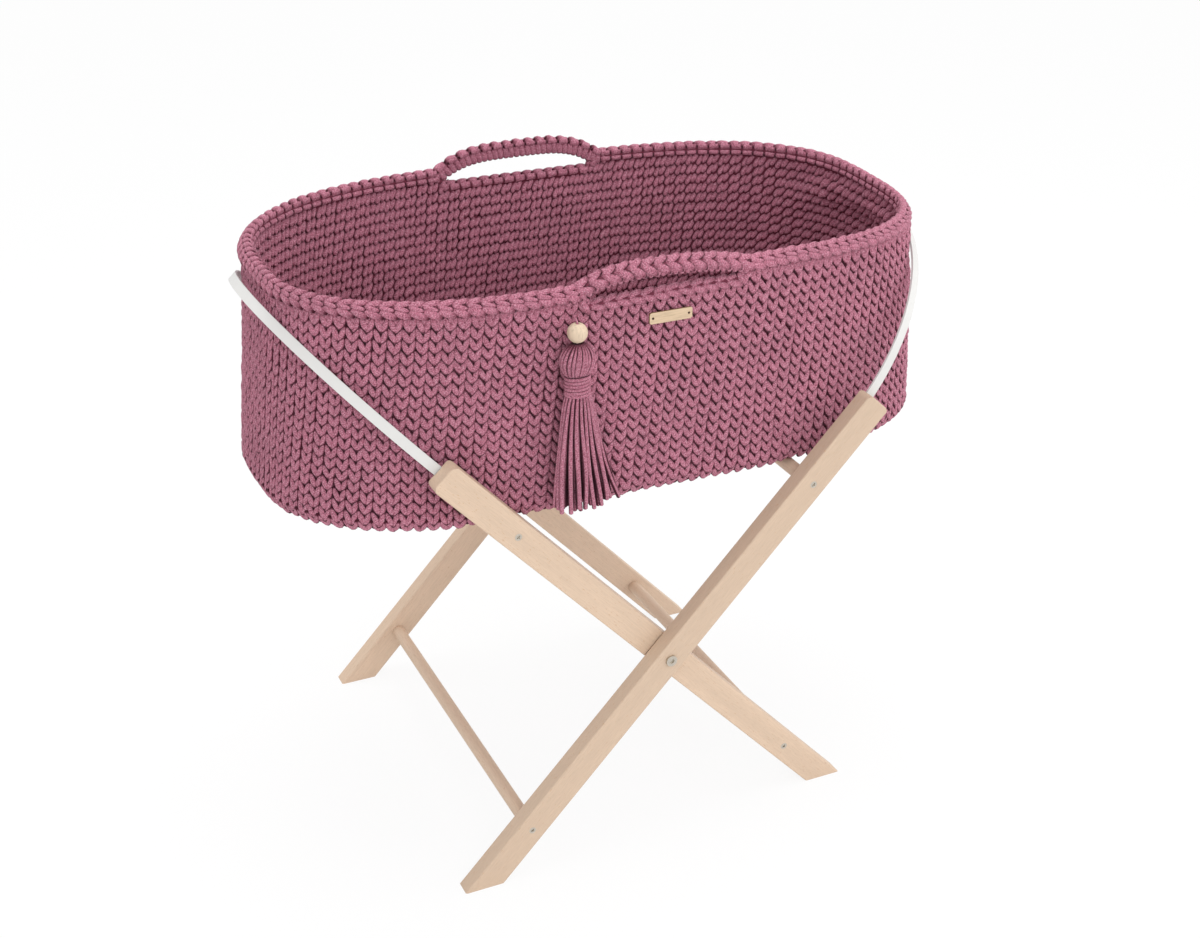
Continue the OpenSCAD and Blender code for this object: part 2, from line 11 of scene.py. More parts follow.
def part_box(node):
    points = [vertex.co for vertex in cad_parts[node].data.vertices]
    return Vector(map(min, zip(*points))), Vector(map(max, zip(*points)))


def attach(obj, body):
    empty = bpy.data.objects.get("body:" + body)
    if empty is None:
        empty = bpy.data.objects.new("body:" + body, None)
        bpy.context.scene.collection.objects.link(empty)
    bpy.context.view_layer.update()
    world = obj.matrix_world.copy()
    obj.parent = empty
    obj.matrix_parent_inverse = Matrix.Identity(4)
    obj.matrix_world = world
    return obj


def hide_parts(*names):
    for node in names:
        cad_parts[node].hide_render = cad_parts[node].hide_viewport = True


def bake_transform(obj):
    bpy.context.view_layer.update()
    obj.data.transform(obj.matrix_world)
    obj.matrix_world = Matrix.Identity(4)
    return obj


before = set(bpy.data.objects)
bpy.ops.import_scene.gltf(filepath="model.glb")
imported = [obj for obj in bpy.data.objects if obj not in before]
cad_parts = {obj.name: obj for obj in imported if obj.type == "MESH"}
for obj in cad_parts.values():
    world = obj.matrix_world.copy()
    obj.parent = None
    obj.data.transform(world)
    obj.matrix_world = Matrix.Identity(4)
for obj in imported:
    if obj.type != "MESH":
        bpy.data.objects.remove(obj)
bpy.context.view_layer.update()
dice = random.Random(7)

MM = 0.001


def mm(*sizes):
    return tuple(size * MM for size in sizes)


UP = Vector((0, 0, 1))
WHITE = (1, 1, 1, 1)

# Basket outline, as in the solid model but for a tighter rounding at its foot: half length and half width of
# foot and rim, and how square each is
FOOT_HALF = mm(392, 202)
RIM_HALF = mm(373, 209)
FOOT_SQUARE = 2.95
RIM_SQUARE = 2.84
FOOT_ROUND = 14 * MM
WALL_THICK = 12 * MM
BRAID_RADIUS = 7 * MM
# Of each handle: where its middle is along X, its half length, how far it rises and how square its arch is
FRONT_HANDLE = (0.0, 100 * MM, 14 * MM, 2.9)
REAR_HANDLE = (4.5 * MM, 104.5 * MM, 22.5 * MM, 3.6)
HANDLE_DIP = 16 * MM
HANDLE_SWELL = 0.06
# How far each end hangs at its foot and at its rim, and where an end starts
LEFT_SAG = mm(4, 6)
RIGHT_SAG = mm(13, 2)
END_START = 200 * MM
END_REACH = 180 * MM
# How far the front wall's foot droops, where the droop starts and how soon it is full
LEFT_DROOP = mm(10, 140, 100)
RIGHT_DROOP = (6 * MM, 0.0, 250 * MM)
# The right end's bulge, the share of it that the rim holds back, and how sharply
END_BULGE = 11.5 * MM
RIM_HOLD = 0.5
RIM_HOLD_POWER = 40
# The right front corner: how far it gives, where it starts, and its share of that along X, Y and Z
CORNER_PUSH = 15 * MM
CORNER_START = 150 * MM
CORNER_REACH = 200 * MM
CORNER_WAY = (0.2, -0.35, -0.6)
FRONT_SAG = 7 * MM
FRONT_SAG_PLACE = -236 * MM
FRONT_SAG_REACH = 150 * MM
REAR_LIFT = 4.2 * MM
# The right hoop's level at the middle of the basket's end, how far it is lower at a place to the side, and
# how far above and below it the bulging end is held back
HOOP_LEVEL = 658 * MM
HOOP_FALL = 23 * MM
HOOP_SIDE = 110 * MM
PINCH_REACH = 17 * MM
PINCH = 0.85
PINCH_SIDE = 140 * MM
# How far the inner legs press the wall in, and where
LEG_PRESS = 2.5 * MM
LEG_PLACE = -200 * MM
LEG_REACH = 40 * MM
dowel_low, dowel_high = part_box("outer_upper_dowel")
dowel_place = (dowel_low.x + dowel_high.x) / 2
DOWEL_REACH = 20 * MM
wall_low, wall_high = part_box("basket_wall")
wall_floor = wall_low.z
wall_top = wall_high.z
wall_height = wall_top - wall_floor

# Crochet: one stitch is two lobes of cord, a column wide and a row high
COLUMN = 14.0 * MM
ROW = 11.9 * MM
CORD = 5 * MM


# Materials

class Value:
    """A socket of a finish; arithmetic on it adds Math nodes."""

    def __init__(self, finish, socket):
        self.finish = finish
        self.socket = socket

    def math(self, operation, first, second=0.0):
        return self.finish.node("ShaderNodeMath", {"operation": operation}, {0: first, 1: second})

    def __add__(self, other):
        return self.math("ADD", self, other)

    __radd__ = __add__

    def __sub__(self, other):
        return self.math("SUBTRACT", self, other)

    def __rsub__(self, other):
        return self.math("SUBTRACT", other, self)

    def __mul__(self, other):
        return self.math("MULTIPLY", self, other)

    __rmul__ = __mul__

    def sine(self):
        return self.math("SINE", self)

    def size(self):
        return self.math("ABSOLUTE", self)

    def part(self):
        return self.math("FRACT", self)


class Nodes:
    """A tree of shader nodes."""

    def __init__(self, tree):
        self.tree = tree

    def feed(self, socket, value):
        if isinstance(value, Value):
            self.tree.links.new(value.socket, socket)
        else:
            socket.default_value = value

    def node(self, kind, settings=None, sockets=None, output=0):
        node = self.tree.nodes.new(kind)
        for name, value in (settings or {}).items():
            if name == "stops":
                self.set_stops(node.color_ramp, value)
            else:
                setattr(node, name, value)
        for name, value in (sockets or {}).items():
            self.feed(node.inputs[name], value)
        return Value(self, node.outputs[output])

    def parts(self, vector):
        """The three numbers of a vector."""
        node = self.tree.nodes.new("ShaderNodeSeparateXYZ")
        self.feed(node.inputs[0], vector)
        return [Value(self, output) for output in node.outputs]

    def set_stops(self, ramp, stops):
        while len(ramp.elements) < len(stops):
            ramp.elements.new(1)
        for element, (place, colour) in zip(ramp.elements, stops):
            element.position = place
            element.color = colour

    def seen_share(self):
        """1 for what the camera sees directly, in gloss or through glass."""
        paths = self.tree.nodes.new("ShaderNodeLightPath")
        names = ("Is Camera Ray", "Is Glossy Ray", "Is Transmission Ray")
        camera, gloss, glass = (Value(self, paths.outputs[name]) for name in names)
        return camera.math("MAXIMUM", camera.math("MAXIMUM", camera, gloss), glass)


class Finish(Nodes):
    """A material with one Principled shader."""

    def __init__(self, name, **sockets):
        self.material = bpy.data.materials.new(name)
        self.material.use_nodes = True
        super().__init__(self.material.node_tree)
        self.shader = self.tree.nodes["Principled BSDF"]
        self.set(**sockets)

    def set(self, **sockets):
        for name, value in sockets.items():
            self.feed(self.shader.inputs[name.replace("_", " ")], value)

    def noise(self, scale, vector=None, detail=2.0, rough=0.5):
        sockets = {"Scale": scale, "Detail": detail, "Roughness": rough}
        sockets["Vector"] = vector or self.place()
        return self.node("ShaderNodeTexNoise", None, sockets)

    def place(self, output="Object"):
        return self.node("ShaderNodeTexCoord", None, None, output)

    def turned(self, angles, scale):
        """Object coordinates, turned and then stretched."""
        sockets = {"Vector": self.place(), "Rotation": angles}
        turned = self.node("ShaderNodeMapping", {"vector_type": "POINT"}, sockets)
        return self.node("ShaderNodeVectorMath", {"operation": "MULTIPLY"}, {0: turned, 1: scale})

    def ramp(self, value, stops):
        return self.node("ShaderNodeValToRGB", {"stops": stops}, {"Fac": value})

    def mix(self, share, first, second, blend="MIX"):
        settings = {"data_type": "RGBA", "blend_type": blend}
        return self.node("ShaderNodeMix", settings, {0: share, 6: first, 7: second}, 2)

    def bump(self, height, distance, strength):
        sockets = {"Height": height, "Distance": distance, "Strength": strength}
        return self.node("ShaderNodeBump", None, sockets)


def shade(colour, share):
    """A colour made darker or lighter by a share."""
    return (colour[0] * share, colour[1] * share, colour[2] * share, 1)


MAUVE = (0.48, 0.156, 0.227, 1)
DEEP_MAUVE = (0.25, 0.06, 0.1, 1)
PALE_MAUVE = (0.68, 0.27, 0.365, 1)
# Pale pink: the tint of the shader's sheen, and the colour of the cord's flecks of painted glint
SHEEN_AND_GLINT = (0.7, 0.44, 0.52, 1)
BLACK = (0, 0, 0, 1)


def cotton_cord(name):
    """Knitted tube cord: fine ribs of tiny chevrons with painted shade in their grooves, random dark and
    light flecks, pale flecks of painted glint, and painted shade in its crevices and on its lobes' shaded
    sides.
    """
    finish = Finish(name, Roughness=0.9, Sheen_Weight=0.25, Sheen_Roughness=0.5, Specular_IOR_Level=0.12)
    finish.set(Sheen_Tint=SHEEN_AND_GLINT)
    around, along = finish.parts(finish.place("UV"))[:2]
    wale = ((around * 7.0).part() - 0.5).size()
    knit = ((along * 3.2 + wale * 1.1) * tau).sine()
    fleck = finish.noise(760, detail=3, rough=0.7)
    # Pale flecks painted where fuzzy fibres would catch the light: painted glints
    painted_glint = finish.noise(1200, detail=2, rough=0.6)
    cloud = finish.noise(30, detail=3)
    # Per-point painted light and shade; its low values paint shade into the crevices and along the lobes'
    # sides
    crest = finish.node("ShaderNodeAttribute", {"attribute_name": "crest"}, None, 2)
    # Stops of the painted shade, from dark in the crevices to none on the lit faces
    painted_shade_stops = [(0.64, (0.13, 0.04, 0.07, 1)), (0.73, (0.58, 0.48, 0.51, 1)), (0.82, WHITE)]
    depth = finish.ramp(crest * 0.5 + 0.5, painted_shade_stops)
    tone = finish.ramp(fleck, [(0.36, DEEP_MAUVE), (0.5, MAUVE), (0.64, PALE_MAUVE)])
    # Random cloudy tone, times painted shade in the grooves of the knit
    cloud_and_knit_shade = finish.mix(1.0, finish.ramp(cloud, [(0.3, shade(WHITE, 0.84)), (0.7, WHITE)]),
                        finish.ramp(knit * 0.5 + 0.5, [(0, shade(WHITE, 0.75)), (1, WHITE)]), "MULTIPLY")
    tone = finish.mix(1.0, tone, cloud_and_knit_shade, "MULTIPLY")
    tone = finish.mix(finish.ramp(painted_glint, [(0.52, BLACK), (0.66, shade(WHITE, 0.6))]), tone, SHEEN_AND_GLINT)
    finish.set(Base_Color=finish.mix(1.0, tone, depth, "MULTIPLY"))
    finish.set(Normal=finish.bump(knit * 0.5 + fleck, 0.6 * MM, 0.6))
    return finish.material


def mottled(finish, cloud, dark, pale, depth, strength):
    """A finish with two tones and a slight relief, both from one noise."""
    finish.set(Base_Color=finish.ramp(cloud, [(0.3, dark), (0.7, pale)]))
    finish.set(Normal=finish.bump(cloud, depth, strength))
    return finish.material


def plain_cotton(name, shaded_dye):
    """The cord's body deep between the stitches, in its dye darkened to paint the shade there: painted shade.
    """
    finish = Finish(name, Roughness=0.95, Specular_IOR_Level=0.1)
    return mottled(finish, finish.noise(500, detail=3), shade(shaded_dye, 0.7), shade(shaded_dye, 1.1), 0.5 * MM, 0.6)


BEECH = (0.61, 0.46, 0.34, 1)
BEECH_FLECK = (0.5, 0.3, 0.17, 1)


def beech(name, angles, wood=BEECH):
    """Pale beech with its grain along X once turned: soft bands, fine pores and short dark flecks."""
    finish = Finish(name, Roughness=0.5, Specular_IOR_Level=0.35)
    band = finish.noise(1.0, finish.turned(angles, (2.2, 26, 26)), detail=4, rough=0.6)
    pore = finish.noise(1.0, finish.turned(angles, (60, 1500, 1500)), detail=2)
    fleck = finish.noise(1.0, finish.turned(angles, (240, 900, 900)), detail=1)
    tone = finish.ramp(band, [(0.3, shade(wood, 0.93)), (0.5, wood), (0.72, shade(wood, 1.06))])
    pores = finish.ramp(pore, [(0.42, shade(WHITE, 0.28)), (0.56, BLACK)])
    tone = finish.mix(pores, tone, shade(wood, 0.72))
    flecks = finish.ramp(fleck, [(0.66, BLACK), (0.72, shade(WHITE, 0.55))])
    finish.set(Base_Color=finish.mix(flecks, tone, BEECH_FLECK))
    finish.set(Roughness=band * 0.2 + 0.42)
    finish.set(Normal=finish.bump(pore * 0.6 + band * 0.4, 0.12 * MM, 0.35))
    return finish.material


def turned_wood(name, colour, stretch):
    """Bare pale wood with fine grain."""
    finish = Finish(name, Roughness=0.6, Specular_IOR_Level=0.3)
    grain = finish.noise(1.0, finish.turned((0, 0, 0), stretch), detail=4, rough=0.6)
    tone = finish.ramp(grain, [(0.3, shade(colour, 0.8)), (0.5, colour), (0.7, shade(colour, 1.08))])
    finish.set(Base_Color=tone, Normal=finish.bump(grain, 0.12 * MM, 0.4))
    return finish.material


def white_paint(name):
    """Satin powder coat."""
    finish = Finish(name, Roughness=0.38, Specular_IOR_Level=0.3)
    speck = finish.noise(900, detail=2)
    soil = finish.noise(14, detail=4)
    finish.set(Base_Color=finish.ramp(soil, [(0.3, (0.61, 0.605, 0.59, 1)), (0.6, (0.65, 0.645, 0.63, 1))]))
    finish.set(Roughness=soil * 0.15 + 0.3)
    finish.set(Normal=finish.bump(speck, 0.05 * MM, 0.3))
    return finish.material


def plated_steel(name):
    """Satin nickel plate with fine scratches."""
    finish = Finish(name, Metallic=1.0, Roughness=0.35)
    scratch = finish.noise(1.0, finish.turned((0, 0.7, 0), (3000, 400, 120)), detail=3)
    tone = finish.ramp(scratch, [(0.3, (0.46, 0.42, 0.36, 1)), (0.7, (0.68, 0.63, 0.55, 1))])
    finish.set(Base_Color=tone, Roughness=scratch * 0.3 + 0.2)
    finish.set(Normal=finish.bump(scratch, 0.03 * MM, 0.3))
    return finish.material


def nylon(name):
    """Pale, slightly cloudy plastic."""
    finish = Finish(name, Roughness=0.55, Specular_IOR_Level=0.4)
    cloud = finish.noise(300, detail=3)
    return mottled(finish, cloud, (0.7, 0.69, 0.66, 1), (0.82, 0.81, 0.78, 1), 0.05 * MM, 0.3)


RIB = 2.5 * MM
WEFT = 1.6 * MM


def woven_tape(name):
    """Cotton webbing: ribs along X crossed by fine weft."""
    finish = Finish(name, Roughness=0.9, Sheen_Weight=0.2, Specular_IOR_Level=0.15)
    length, width = finish.parts(finish.place())[:2]
    rib = (width * (tau / RIB)).sine()
    weft = (length * (tau / WEFT) + rib).sine()
    weave = rib * 0.5 + weft * 0.3
    fibre = finish.noise(1200, detail=3)
    stops = [(0.1, (0.6, 0.55, 0.46, 1)), (0.7, (0.82, 0.78, 0.69, 1))]
    tone = finish.ramp(weave * 0.5 + fibre * 0.5, stops)
    finish.set(Base_Color=tone, Normal=finish.bump(weave + fibre * 0.4, 0.3 * MM, 0.6))
    return finish.material


def dark_thread(name):
    """Dark sewing thread."""
    finish = Finish(name, Roughness=0.85)
    fibre = finish.noise(2500, detail=2)
    return mottled(finish, fibre, (0.03, 0.015, 0.012, 1), (0.1, 0.05, 0.04, 1), 0.2 * MM, 0.5)


# Modelling helpers

def in_scene(name, data):
    """A new object of some data, in the scene."""
    made = bpy.data.objects.new(name, data)
    bpy.context.scene.collection.objects.link(made)
    return made


def to_object(bm, name, material):
    """An object of what was modelled."""
    mesh = bpy.data.meshes.new(name)
    bm.to_mesh(mesh)
    bm.free()
    mesh.materials.append(material)
    return in_scene(name, mesh)


def to_piece(bm, name, material, body, slot, *nodes):
    """A finished piece on its body, standing for the given solids."""
    piece = to_object(bm, name, material)
    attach(piece, body)
    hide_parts(*nodes)
    return piece


def crochet_piece(bm, name, finish, *nodes):
    to_piece(bm, name, finish, "basket", "crochet", *nodes)


def verts_of(items):
    return [item for item in items if isinstance(item, bmesh.types.BMVert)]


def faces_of(items):
    return [item for item in items if isinstance(item, bmesh.types.BMFace)]


def smooth(bm):
    for face in bm.faces:
        face.smooth = True


class Oval:
    """Flat-sided oval, walked by the share of its girth from the middle of the front, towards plus X."""

    def __init__(self, half_length, half_width, square):
        turn = np.radians(np.linspace(-90, 270, 1441))
        lengthways = np.abs(np.cos(turn)) / half_length
        sideways = np.abs(np.sin(turn)) / half_width
        reach = (lengthways ** square + sideways ** square) ** (-1 / square)
        self.x = reach * np.cos(turn)
        self.y = reach * np.sin(turn)
        run = np.concatenate([[0], np.cumsum(np.hypot(np.diff(self.x), np.diff(self.y)))])
        self.girth = run[-1]
        self.shares = run / self.girth

    def point(self, share):
        share = share % 1
        return Vector((np.interp(share, self.shares, self.x), np.interp(share, self.shares, self.y), 0))

    def at(self, share):
        """Point, way along and way outwards."""
        step = 0.001
        along = (self.point(share + step) - self.point(share - step)).normalized()
        return self.point(share), along, along.cross(UP)


def wall_oval(level, inset):
    rise = level / wall_height
    half = [foot + (rim - foot) * rise - inset for foot, rim in zip(FOOT_HALF, RIM_HALF)]
    return Oval(*half, FOOT_SQUARE + (RIM_SQUARE - FOOT_SQUARE) * rise)


def eased(share):
    """0 up to 0 and 1 from 1 on, with a soft start and end."""
    share = min(max(share, 0), 1)
    return share * share * (3 - 2 * share)


def swell(distance, reach):
    """1 at a place, falling softly to none beyond a reach on both sides of it."""
    return exp(-(distance / reach) ** 2)


def fall(point, level, sag, droop):
    """How far an end hangs and the wall's front foot droops there; the dowels carry the foot."""
    rise = level / wall_height
    end = (max(abs(point.x) - END_START, 0) / END_REACH) ** 2
    depth, start, reach = droop
    foot = (max(-point.y, 0) / FOOT_HALF[1]) ** 4 * (1 - rise) if level > 0 else 0
    free = 1 - swell(abs(point.x) - dowel_place, DOWEL_REACH)
    hang = sag[0] * (1 - rise) + sag[1] * rise
    return hang * end + depth * foot * free * eased((abs(point.x) - start) / reach)


def settle_left(point, level):
    """The left end hangs, inner legs press the wall in, and the front rim sags beside its handle."""
    rise = level / wall_height
    front = max(-point.y, 0) / RIM_HALF[1] * rise ** 2
    press = LEG_PRESS * swell(point.x - LEG_PLACE, LEG_REACH) * (1 - rise) ** 2
    bow = FRONT_SAG * swell(point.x - FRONT_SAG_PLACE, FRONT_SAG_REACH) * front
    return Vector((0, -copysign(press, point.y), -fall(point, level, LEFT_SAG, LEFT_DROOP) - bow))


def settle_right(point, level):
    """The right end hangs and bulges but where the hoop holds it, and its front corner leans out and down."""
    rise = level / wall_height
    end = (max(point.x - END_START, 0) / END_REACH) ** 2
    front = max(-point.y, 0) / RIM_HALF[1] * rise ** 2
    corner = CORNER_PUSH * front * max(point.x - CORNER_START, 0) / CORNER_REACH
    above_hoop = wall_floor + level - HOOP_LEVEL + HOOP_FALL * (point.y / HOOP_SIDE) ** 2
    free = 1 - PINCH * swell(above_hoop, PINCH_REACH) * max(1 - (point.y / PINCH_SIDE) ** 4, 0)
    bulge = END_BULGE * end * (1 - RIM_HOLD * rise ** RIM_HOLD_POWER)
    along, across, down = (share * corner for share in CORNER_WAY)
    return Vector(((bulge + along) * free, across * free, down - fall(point, level, RIGHT_SAG, RIGHT_DROOP)))


def settle(point, level):
    """How the soft basket gives at a point of a level: each end in its way, and the rear rim is higher."""
    lift = REAR_LIFT * max(point.y, 0) / RIM_HALF[1] * level / wall_height
    give = settle_left if point.x < 0 else settle_right
    return give(point, level) + UP * lift


def dip_share(point):
    """1 under a handle, none beyond its ends: how far the wall's top edge is lower there."""
    return min(handle_share(point) * 3, 1)


def wall_place(drop):
    """Level, inset and downward lean of the wall's outer face, at a distance down it from the top."""
    straight = wall_height - FOOT_ROUND
    if drop <= straight:
        return wall_height - drop, 0.0, 0.0
    lean = min((drop - straight) / FOOT_ROUND, pi / 2)
    return FOOT_ROUND * (1 - sin(lean)), FOOT_ROUND * (1 - cos(lean)), lean


# How often a lobe's knit repeats along it, as a cord's does along each width of cord
LOBE_LENGTH = 3.6


def lobe_shape(name, segments, rings, painted_light_at, hook=0.0, taper=0.0, bend=0.0, plump=2.6):
    """Unit lobe of cord: its length along Z, its outer face towards Y, with a value of painted light and
    shade at each point. It can be fuller and hooked aside at its bottom, and bent back at its top."""
    bm = bmesh.new()
    uv = bm.loops.layers.uv.new("UVMap")
    ops.create_uvsphere(bm, u_segments=segments, v_segments=rings, radius=1, calc_uvs=True)
    # Painted light and shade of each point, which the cord's material reads
    crest = bm.verts.layers.float.new("crest")
    for vert in bm.verts:
        x, y, z = vert.co
        vert[crest] = painted_light_at(x, y, z)
        girth = hypot(x, y)
        if girth > 0.01:
            wide = sqrt(1 - abs(z) ** plump) / girth * (1 - taper * z)
            vert.co = (x * wide, y * wide, z)
        vert.co.x += hook * max(-z, 0) ** 1.6
        vert.co.y -= bend * max(z, 0) ** 2
    for face in bm.faces:
        for loop in face.loops:
            loop[uv].uv.y *= LOBE_LENGTH
    smooth(bm)
    mesh = bpy.data.meshes.new(name)
    bm.to_mesh(mesh)
    bm.free()
    return mesh


def lay(bm, shape, centre, along, face, size):
    """Adds a lobe: its middle, the way it runs, the way it faces, and its half width, depth and length."""
    z = along.normalized()
    y = (face - z * face.dot(z)).normalized()
    x = y.cross(z)
    turn = Matrix((x * size[0], y * size[1], z * size[2])).transposed().to_4x4()
    copy = shape.copy()
    copy.transform(Matrix.Translation(centre) @ turn)
    bm.from_mesh(copy)
    bpy.data.meshes.remove(copy)


def wobble(amount):
    return dice.uniform(-amount, amount)


def varied(size, share):
    """Half sizes, each off by up to a share."""
    return [half * (1 + wobble(share)) for half in size]


def stray(amounts):
    """A random step of up to the given amounts along X, Y and Z."""
    return Vector([wobble(amount) for amount in amounts])


def line_frames(line):
    """Places along a line of points, each with Z along it, turned as little as they can be."""
    frames = []
    side = None
    for i, point in enumerate(line):
        along = (line[min(i + 1, len(line) - 1)] - line[max(i - 1, 0)]).normalized()
        side = along.orthogonal() if side is None else side - along * side.dot(along)
        side.normalize()
        turn = Matrix((side, along.cross(side), along)).transposed().to_4x4()
        frames.append(Matrix.Translation(point) @ turn)
    return frames


def ring_edges(ring):
    """The edges that join a ring of points, in a fixed order."""
    edges = [edge for vert in ring for edge in vert.link_edges if edge.other_vert(vert) in ring]
    return list(dict.fromkeys(edges))


def wrap_uv(face, uv, frames, fresh, runs):
    """Lays a tube face's UV round the cord and along it."""
    for loop in face.loops:
        place = 1 if loop.vert in fresh else 0
        spot = frames[place].inverted() @ loop.vert.co
        loop[uv].uv = (atan2(spot.y, spot.x) / tau % 1, runs[place] / CORD)
    turns = [loop[uv].uv.x for loop in face.loops]
    if max(turns) - min(turns) > 0.5:
        for loop in face.loops:
            loop[uv].uv.x += 1 if loop[uv].uv.x < 0.5 else 0


# Of the rings at a cord's eased end: how far in they are, in radii, and their width
EASE = [(0.0, 0.5), (0.25, 0.85), (0.7, 1.0)]
CORD_SIDES = 8
# Painted light of a cord outside the tassel, high enough that it is not darkened
CORD_PAINTED_LIGHT = 0.75


def eased_points(line, radius):
    """A cord's points, with some more at its ends, and its width at each."""
    first = (line[1] - line[0]).normalized() * radius
    last = (line[-2] - line[-1]).normalized() * radius
    points = [line[0] + first * step for step, width in EASE] + line[1:-1]
    points += [line[-1] + last * step for step, width in reversed(EASE)]
    widths = [width for step, width in EASE]
    return points, widths + [1.0] * (len(line) - 2) + widths[::-1]


def cord_along(bm, line, radius, flat=0.0, lit=0.0, slim=(1.0, 1.0)):
    """Adds a round cord with eased ends along a line of points, slimmer by a share at its first and last end.
    In the tassel, whose depth is its width times flat, the cord gets painted light on its side away from the
    tassel's middle and painted shade on its side towards it, both raised by lit."""
    uv = bm.loops.layers.uv.verify()
    # The per-point painted light and shade that the cord's material reads
    crest = bm.verts.layers.float.get("crest") or bm.verts.layers.float.new("crest")
    points, widths = eased_points(line, radius)
    for i, share in enumerate(np.linspace(0, 2, len(widths))):
        widths[i] *= min(slim[0] + (1 - slim[0]) * share, slim[1] + (1 - slim[1]) * (2 - share), 1)
    frames = [place @ Matrix.Scale(width, 4) for place, width in zip(line_frames(points), widths)]
    made = ops.create_circle(bm, cap_ends=True, segments=CORD_SIDES, radius=radius, matrix=frames[0])
    ring = made["verts"]
    run = 0.0
    for i in range(1, len(frames)):
        added = ops.extrude_edge_only(bm, edges=ring_edges(ring))["geom"]
        ring = verts_of(added)
        ops.transform(bm, matrix=frames[i] @ frames[i - 1].inverted(), verts=ring)
        step = (points[i] - points[i - 1]).length
        for face in faces_of(added):
            face.smooth = True
            wrap_uv(face, uv, frames[i - 1:i + 1], ring, (run, run + step))
        for vert in ring:
            vert[crest] = CORD_PAINTED_LIGHT
            if flat:
                out = points[i] - tassel_axis
                out = Vector((out.x * flat * flat, out.y, 0)).normalized()
                # Painted light on the side facing out from the tassel's middle, painted shade on the side
                # facing in
                vert[crest] = (vert.co - points[i]).dot(out) / radius + lit
        run += step
    ops.edgeloop_fill(bm, edges=ring_edges(ring))


# Painted light and shade of a unit lobe's points: the higher the value, the less the cord is darkened
def left_edge(x, y, z):
    """Painted light where it faces out; painted shade along its left side and at its ends."""
    return y - 0.14 * max(x, 0) - 0.3 * z ** 4


def right_edge(x, y, z):
    """As on the left, with painted shade too along its right side, most of all lower down."""
    return y - 0.08 * max(x, 0) - 0.35 * max(-x, 0) * (1 + max(-z, 0)) - 0.3 * z ** 4


def bump_edge(x, y, z):
    """Painted light where it faces out, painted shade only deep at its sides."""
    return 0.6 * y + 0.51 - 0.2 * z * z - 0.25 * max(-z, 0) ** 3


def spine(side):
    """Painted light all round but for painted shade along one side, the lower at -1 and the upper at 1, and
    at its ends.
    """
    return lambda x, y, z: 0.66 - 2.2 * max(side * x - 0.52, 0) - 0.5 * abs(z) ** 3


def outlined(x, y, z):
    """Painted light where it faces out, with a painted shade outline and painted shade at its ends."""
    return 0.85 * y + 0.1 - 0.2 * abs(z) ** 3


def between_ends(x, y, z):
    """Painted light all round, painted shade at its ends."""
    return 0.75 - 0.9 * abs(z) ** 5


def link_lobes(name, plump):
    """The upper and the lower lobe of a plait's link."""
    upper = lobe_shape(f"{name}_upper_lobe", 10, 8, spine(-1), bend=0.9, plump=plump)
    lower = lobe_shape(f"{name}_lower_lobe", 10, 8, spine(1), bend=0.6, plump=plump)
    return upper, lower


left_leaf = lobe_shape("left_leaf", 8, 7, left_edge, hook=-0.3, taper=0.2, plump=2.3)
right_leaf = lobe_shape("right_leaf", 8, 7, right_edge, hook=0.65, taper=0.08)
bean = lobe_shape("bean", 7, 6, bump_edge, taper=0.12)
base_bean = lobe_shape("base_bean", 6, 5, bump_edge, taper=0.12)
handle_lobes = link_lobes("handle", 2.1)
rim_lobes = link_lobes("rim", 2.0)
block = lobe_shape("block", 8, 9, between_ends, plump=7)
spine_lobe = lobe_shape("spine_lobe", 8, 7, outlined)
post = lobe_shape("post", 8, 8, bump_edge, plump=5)

cord_finish = cotton_cord("crochet_cord")
tassel_finish = cotton_cord("tassel_cord_cotton")
# The core: the cord's mauve much darkened, painted shade for the deep gaps between the stitches
painted_shade_core_finish = plain_cotton("crochet_core_painted_shade", (0.17, 0.04, 0.065, 1))
tape_finish = woven_tape("strap_webbing")
BEAD_WOOD = (0.62, 0.49, 0.36, 1)
TAG_WOOD = (0.575, 0.432, 0.29, 1)
SCORCHED = (0.2, 0.11, 0.05, 1)


def sway(share, drop):
    """Slow wander of the hand-made rows and columns, the same again after a full round."""
    turn = share * tau
    return sin(turn * 6 + drop * 23) + sin(turn * 14 - drop * 31 + 2)


# Basket wall: columns of nested Vs outside, pairs of slanted bumps inside

V_TILT = radians(9)
V_RIGHT_TILT = radians(6)
V_RIGHT_LEAN = radians(17)
V_SPREAD = 3.5 * MM
V_SINK = 3.9 * MM
V_DRIFT = 1.0 * MM
V_STRAY = mm(0.4, 0.4, 0.5)
# Of each side of a V: which one, the lobe, its lean and tilt, half sizes, and how far its middle is up
V_SIDES = (
    (-1, left_leaf, radians(-22), V_TILT, mm(3.85, 3.8, 9.6), 0.3 * MM),
    (1, right_leaf, V_RIGHT_LEAN, V_RIGHT_TILT, mm(3.85, 3.7, 10.0), -0.3 * MM),
)
# The short lobe that fills a V's mouth below the rim: its half sizes, and how far up and how deep it is
TOP_BUMP_SIZE = mm(3.3, 3.6, 7)
TOP_BUMP_RISE = 6 * MM
TOP_BUMP_SINK = 0.8 * MM
# How far the rows wander, as shares of the girth, and how lumpy the wall is
OUTSIDE_WANDER = 0.0004
INSIDE_WANDER = 0.0005
LUMP = 0.7 * MM
wall_girth = wall_height + FOOT_ROUND * (pi / 2 - 1)
columns = round(wall_oval(wall_height / 2, 0).girth / COLUMN)
rows = round(wall_girth / ROW)
inside_rows = round((wall_height - WALL_THICK) / ROW)
QUARTERS = ("front", "right", "rear", "left")


def quarter_of(share):
    """Which quarter of the wall a share of its girth is in."""
    return int((share + 0.125) % 1 * 4)


def wall_pieces(meshes, name):
    for quarter, bm in zip(QUARTERS, meshes):
        crochet_piece(bm, f"{name}_{quarter}", cord_finish, "basket_wall")


